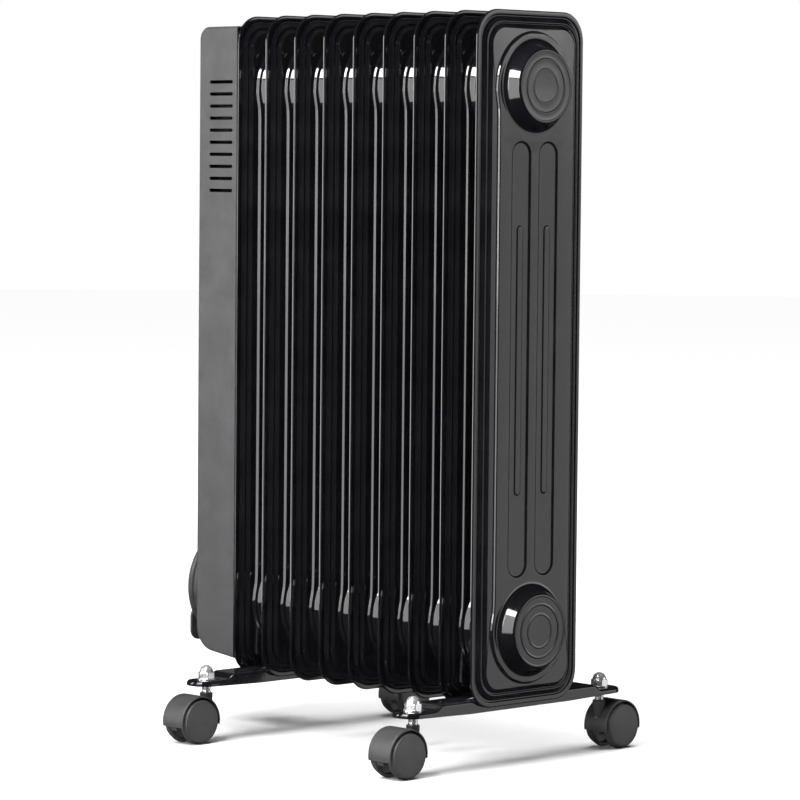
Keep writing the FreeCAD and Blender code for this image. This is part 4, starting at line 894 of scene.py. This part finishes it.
# (distance in from the block's outline, stand-off from the housing)
GLAND_EDGE = ((0, 0), (0, 11.4), (0.3, 12.3), (1.0, 12.85), (2.0, GLAND_DEPTH))
RELIEF_LENGTH, RELIEF_WIDE, RELIEF_NARROW, RELIEF_SINK = 28.0, 5.6, 4.3, 0.2
END_ROUND, RELIEF_ROUND, SLEEVE_ROUND = 0.8, 0.3, 0.4
# (share of a ring's length, depth of the cut there)
RELIEF_CUT = ((0, 0), (0.62, 0), (0.7, 0.8), (0.92, 0.8))
SLEEVE_CUT = ((0, 0), (0.6, 0), (0.7, 0.7), (0.9, 0.7))
SLEEVE_FROM, SLEEVE_TO, SLEEVE_WIDE, SLEEVE_NARROW = 12.0, 39.5, 7.6, 4.4
RING_COUNT = 6
PLUG_FACE, PLUG_THICKNESS, PLUG_RADIUS = 27.4, 17.0, 18.5
# (radius, distance from the face with the pins)
PLUG_PROFILE = ((0, 0), (16.4, 0), (17.6, 0.4), (18.3, 1.3), (18.5, 2.4), (18.5, 5.5), (17.9, 6.4),
                (17.3, 8.0), (17.3, 9.5), (17.8, 11), (17.9, 12.4), (17.2, 14.4), (15.6, 16), (13.2, 16.8),
                (12.4, 16.9), (11.9, 16.5), (11.2, 16.4), (0, 16.4))


def cut_rings(start, end, wide, narrow, cut_profile, first_cut):
    """(radius, place) points of a tapered sleeve with cuts from one ring on, but none in the last."""
    points = [(0, start)]
    for i in range(RING_COUNT):
        for part, cut in cut_profile:
            along = (i + part) / RING_COUNT
            depth = cut if first_cut <= i < RING_COUNT - 1 else 0
            points.append((wide + (narrow - wide) * along - depth, start + (end - start) * along))
    return points


def make_gland():
    """A block with rounded edges and a tapered strain relief with cut rings."""
    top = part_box("cord_gland")[1].z
    shape = Shape()
    rows = []
    for inset, depth in GLAND_EDGE:
        loop = outline(GLAND_HALF_WIDTH - inset, -GLAND_HEIGHT + inset, -inset, GLAND_CORNER - inset)
        rows.append([(-depth, u, v) for u, v in loop])
    made = shape.rows(rows)
    shape.cap_mirrored(made[0])
    shape.cap_mirrored(made[-1])
    relief = cut_rings(0, -RELIEF_LENGTH, RELIEF_WIDE, RELIEF_NARROW, RELIEF_CUT, 0)
    relief += [(RELIEF_NARROW, RELIEF_ROUND - RELIEF_LENGTH), (RELIEF_NARROW - END_ROUND, -RELIEF_LENGTH),
               (0, -RELIEF_LENGTH)]
    stand_off = (face_x - CORD_EXIT.x) / MM
    place = Matrix.Translation((-stand_off, 0, RELIEF_SINK - GLAND_HEIGHT))
    shape.join(lathe(relief, SMALL_TURN), place)
    place_piece("moulded_gland", shape.mesh("gland", 35), black_plastic, "heater", (face_x, CORD_EXIT.y, top),
                ["cord_gland"])


def make_plug():
    """A round angled plug with a finger groove and a ribbed cord sleeve."""
    low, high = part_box("plug")
    place = (face_x, low.y + PLUG_RADIUS * MM, (low.z + high.z) / 2)
    profile = [(radius, -PLUG_FACE - distance) for radius, distance in PLUG_PROFILE]
    shape = lathe(profile, LARGE_TURN, axis="x")
    sleeve = cut_rings(SLEEVE_FROM, SLEEVE_TO, SLEEVE_WIDE, SLEEVE_NARROW, SLEEVE_CUT, 1)
    sleeve += [(SLEEVE_NARROW, SLEEVE_TO - SLEEVE_ROUND), (SLEEVE_NARROW - END_ROUND, SLEEVE_TO),
               (0, SLEEVE_TO)]
    along_y = Matrix.Rotation(-math.pi / 2, 4, "X")
    middle = Matrix.Translation((-PLUG_FACE - PLUG_THICKNESS / 2, 0, 0))
    shape.join(lathe(sleeve, SMALL_TURN), middle @ along_y)
    return place_piece("moulded_plug", shape.mesh("plug", 40), sheath, "heater", place,
                       ["plug"])


# ---------------------------------------------------------------- winder

WINDER_GAP, WINDER_PLATE = 24.4, 3.0
WINDER_FRONT = WINDER_GAP + WINDER_PLATE
# (radius, X from the housing's face): the hub and the round plate with its shallow groove
WINDER_PROFILE = ((28.2, 0), (32.4, 0), (31.4, -1.2), (31.4, -23.2), (32.9, -24.4), (32.9, -26.6),
                  (32.4, -27.2), (31.6, -WINDER_FRONT), (24.0, -WINDER_FRONT), (23.4, -26.9), (22.6, -26.9),
                  (22.0, -WINDER_FRONT), (0, -WINDER_FRONT))
# (half width, lower edge, upper edge, distance behind the front) of the wide lip and the narrow one
WINDER_LIPS = ((45, -49, -19, 0.06), (22, 5, 55, 0.12))
LIP_CORNER = 9


def add_lip(shape, half_width, low, high, front):
    """A flat plate with rounded edges, front and back."""
    rows = []
    for inset, depth in ((0.9, WINDER_GAP), (0.25, WINDER_GAP + 0.25), (0, WINDER_GAP + 0.9),
                         (0, front - 1.0), (0.3, front - 0.35), (1.0, front)):
        loop = outline(half_width - inset, low + inset, high - inset, LIP_CORNER - inset)
        rows.append([(-depth, u, v) for u, v in loop])
    made = shape.rows(rows)
    shape.cap_mirrored(made[0])
    shape.cap_mirrored(made[-1])


def make_winder():
    """A hub with a round plate, a wide lip below and a narrow one above."""
    shape = lathe(WINDER_PROFILE, LARGE_TURN, axis="x")
    for half_width, low, high, behind in WINDER_LIPS:
        add_lip(shape, half_width, low, high, WINDER_FRONT - behind)
    place_piece("moulded_winder", shape.mesh("winder", 40), black_plastic, "heater", (face_x, 0, winder_z),
                ["cord_winder"])


# ---------------------------------------------------------------- controls

KNOB_BACK, KNOB_DEPTH, KNOB_SKIRT = 3.1, 18.0, 2.5
KNOB_STEPS, KNOB_FLUTES = 144, 24
POINTER_SINK, POINTER_LIFT, POINTER_HALF_WIDTH = 0.9, 1.0, 0.9
# where the pointer's middle is and its half length, as shares of the knob's radius
POINTER_PLACE, POINTER_HALF_LENGTH = 0.62, 0.24
MARK_STAND_OFF, MARK_REACH, MARK_HALF_WIDTH, MARK_SINK, MARK_LIFT = 2.5, 6.6, 0.45, 0.3, 0.12
# half length of a dial's first mark, and how much longer its last one is
MARK_HALF_LENGTH, MARK_GROWTH = 1.0, 1.4
# (name, number of marks, angle of the last mark from the top in degrees)
DIALS = (("thermostat", 13, 135), ("selector", 4, 90))


def knob_shape(radius):
    """A dished knob with a fluted grip and a skirt."""
    front = KNOB_BACK + KNOB_DEPTH
    shape = Shape()
    rows = []
    for reach, depth, flute in ((radius + 2.0, KNOB_BACK, 0), (radius + KNOB_SKIRT, KNOB_BACK + 0.5, 0),
                                (radius + 2.4, KNOB_BACK + 2.2, 0), (radius + 1.0, KNOB_BACK + 3.0, 0),
                                (radius - 0.6, KNOB_BACK + 3.6, 0.6), (radius - 1.2, front - 3.2, 0.6),
                                (radius - 1.9, front - 1.1, 0.4), (radius - 3.2, front - 0.2, 0),
                                (radius - 4.2, front, 0), (radius - 5.4, front - 0.25, 0),
                                (radius * 0.45, front - 1.3, 0)):
        ring = []
        for i in range(KNOB_STEPS):
            angle = 2 * math.pi * i / KNOB_STEPS
            out = reach + flute * math.cos(KNOB_FLUTES * angle)
            ring.append((-depth, out * math.cos(angle), out * math.sin(angle)))
        rows.append(ring)
    made = shape.rows(rows)
    shape.cap(made[0])
    shape.cap(made[-1])
    return shape


def add_bar_mark(shape, place, half_width, half_length, angle=0.0, lift=MARK_LIFT):
    """A thin painted bar on the panel or on a knob, turned about its own middle."""
    depth, u, v = place
    rows = []
    for height in (-MARK_SINK, lift):
        loop = outline(half_width, -half_length, half_length, half_width, steps=4)
        rows.append([(-depth - height, a * math.cos(angle) + b * math.sin(angle) + u,
                      b * math.cos(angle) - a * math.sin(angle) + v) for a, b in loop])
    made = shape.rows(rows)
    shape.cap_mirrored(made[0])
    shape.cap_mirrored(made[-1])


def make_dial(name):
    """A knob with its pointer; returns the knob's radius and the height of its axis."""
    low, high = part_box(f"{name}_spindle")
    place = (face_x, 0, (low.z + high.z) / 2)
    low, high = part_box(f"{name}_knob")
    radius = (high.y - low.y) / 2 / MM - KNOB_SKIRT
    place_piece(f"fluted_{name}_knob", knob_shape(radius).mesh(f"{name}_knob", 50), knob_plastic,
                f"{name}_dial", place, [f"{name}_knob"])
    pointer = Shape()
    add_bar_mark(pointer, (KNOB_BACK + KNOB_DEPTH - POINTER_SINK, 0, radius * POINTER_PLACE),
                 POINTER_HALF_WIDTH, radius * POINTER_HALF_LENGTH, lift=POINTER_LIFT)
    place_piece(f"{name}_pointer", pointer.mesh(f"{name}_pointer"), mark_paint, f"{name}_dial", place)
    paint(f"{name}_spindle", zinc)
    paint(f"{name}_body", switch_plastic)
    return radius, place[2] / MM


def make_controls():
    marks = Shape()
    for name, count, spread in DIALS:
        radius, axis_height = make_dial(name)
        reach = radius + MARK_REACH
        for i in range(count):
            part = i / (count - 1)
            angle = math.radians(spread * (2 * part - 1))
            place = (MARK_STAND_OFF, reach * math.sin(angle), axis_height + reach * math.cos(angle))
            add_bar_mark(marks, place, MARK_HALF_WIDTH, MARK_HALF_LENGTH + MARK_GROWTH * part, angle)
    place_piece("dial_marks", marks.mesh("dial_marks"), mark_paint, "heater", (face_x, 0, 0))
    paint("control_panel", black_plastic)
    paint("pilot_lamp", lens)


# ---------------------------------------------------------------- the rest of the CAD nodes

def paint_plain_nodes():
    finishes = ((grey_paint, ("housing",)),
                (zinc, ("mounting_plate", "wing_nuts", "u_bolt_near", "u_bolt_far", "thermal_cutout")),
                (steel, ("heating_element", "element_flange", "collector_closure")),
                (chrome, ("housing_screws", "plug_pins")),
                (switch_plastic, ("tip_over_switch", "terminal_block")))
    for material, names in finishes:
        for name in names:
            paint(name, material)


# ---------------------------------------------------------------- run

make_camera()
make_studio()
cord = make_cord()
make_gland()
plug = make_plug()
make_fins()
make_end_cups()
make_foot_bars()
make_stem_hardware()
make_casters()
make_winder()
make_controls()
paint_plain_nodes()
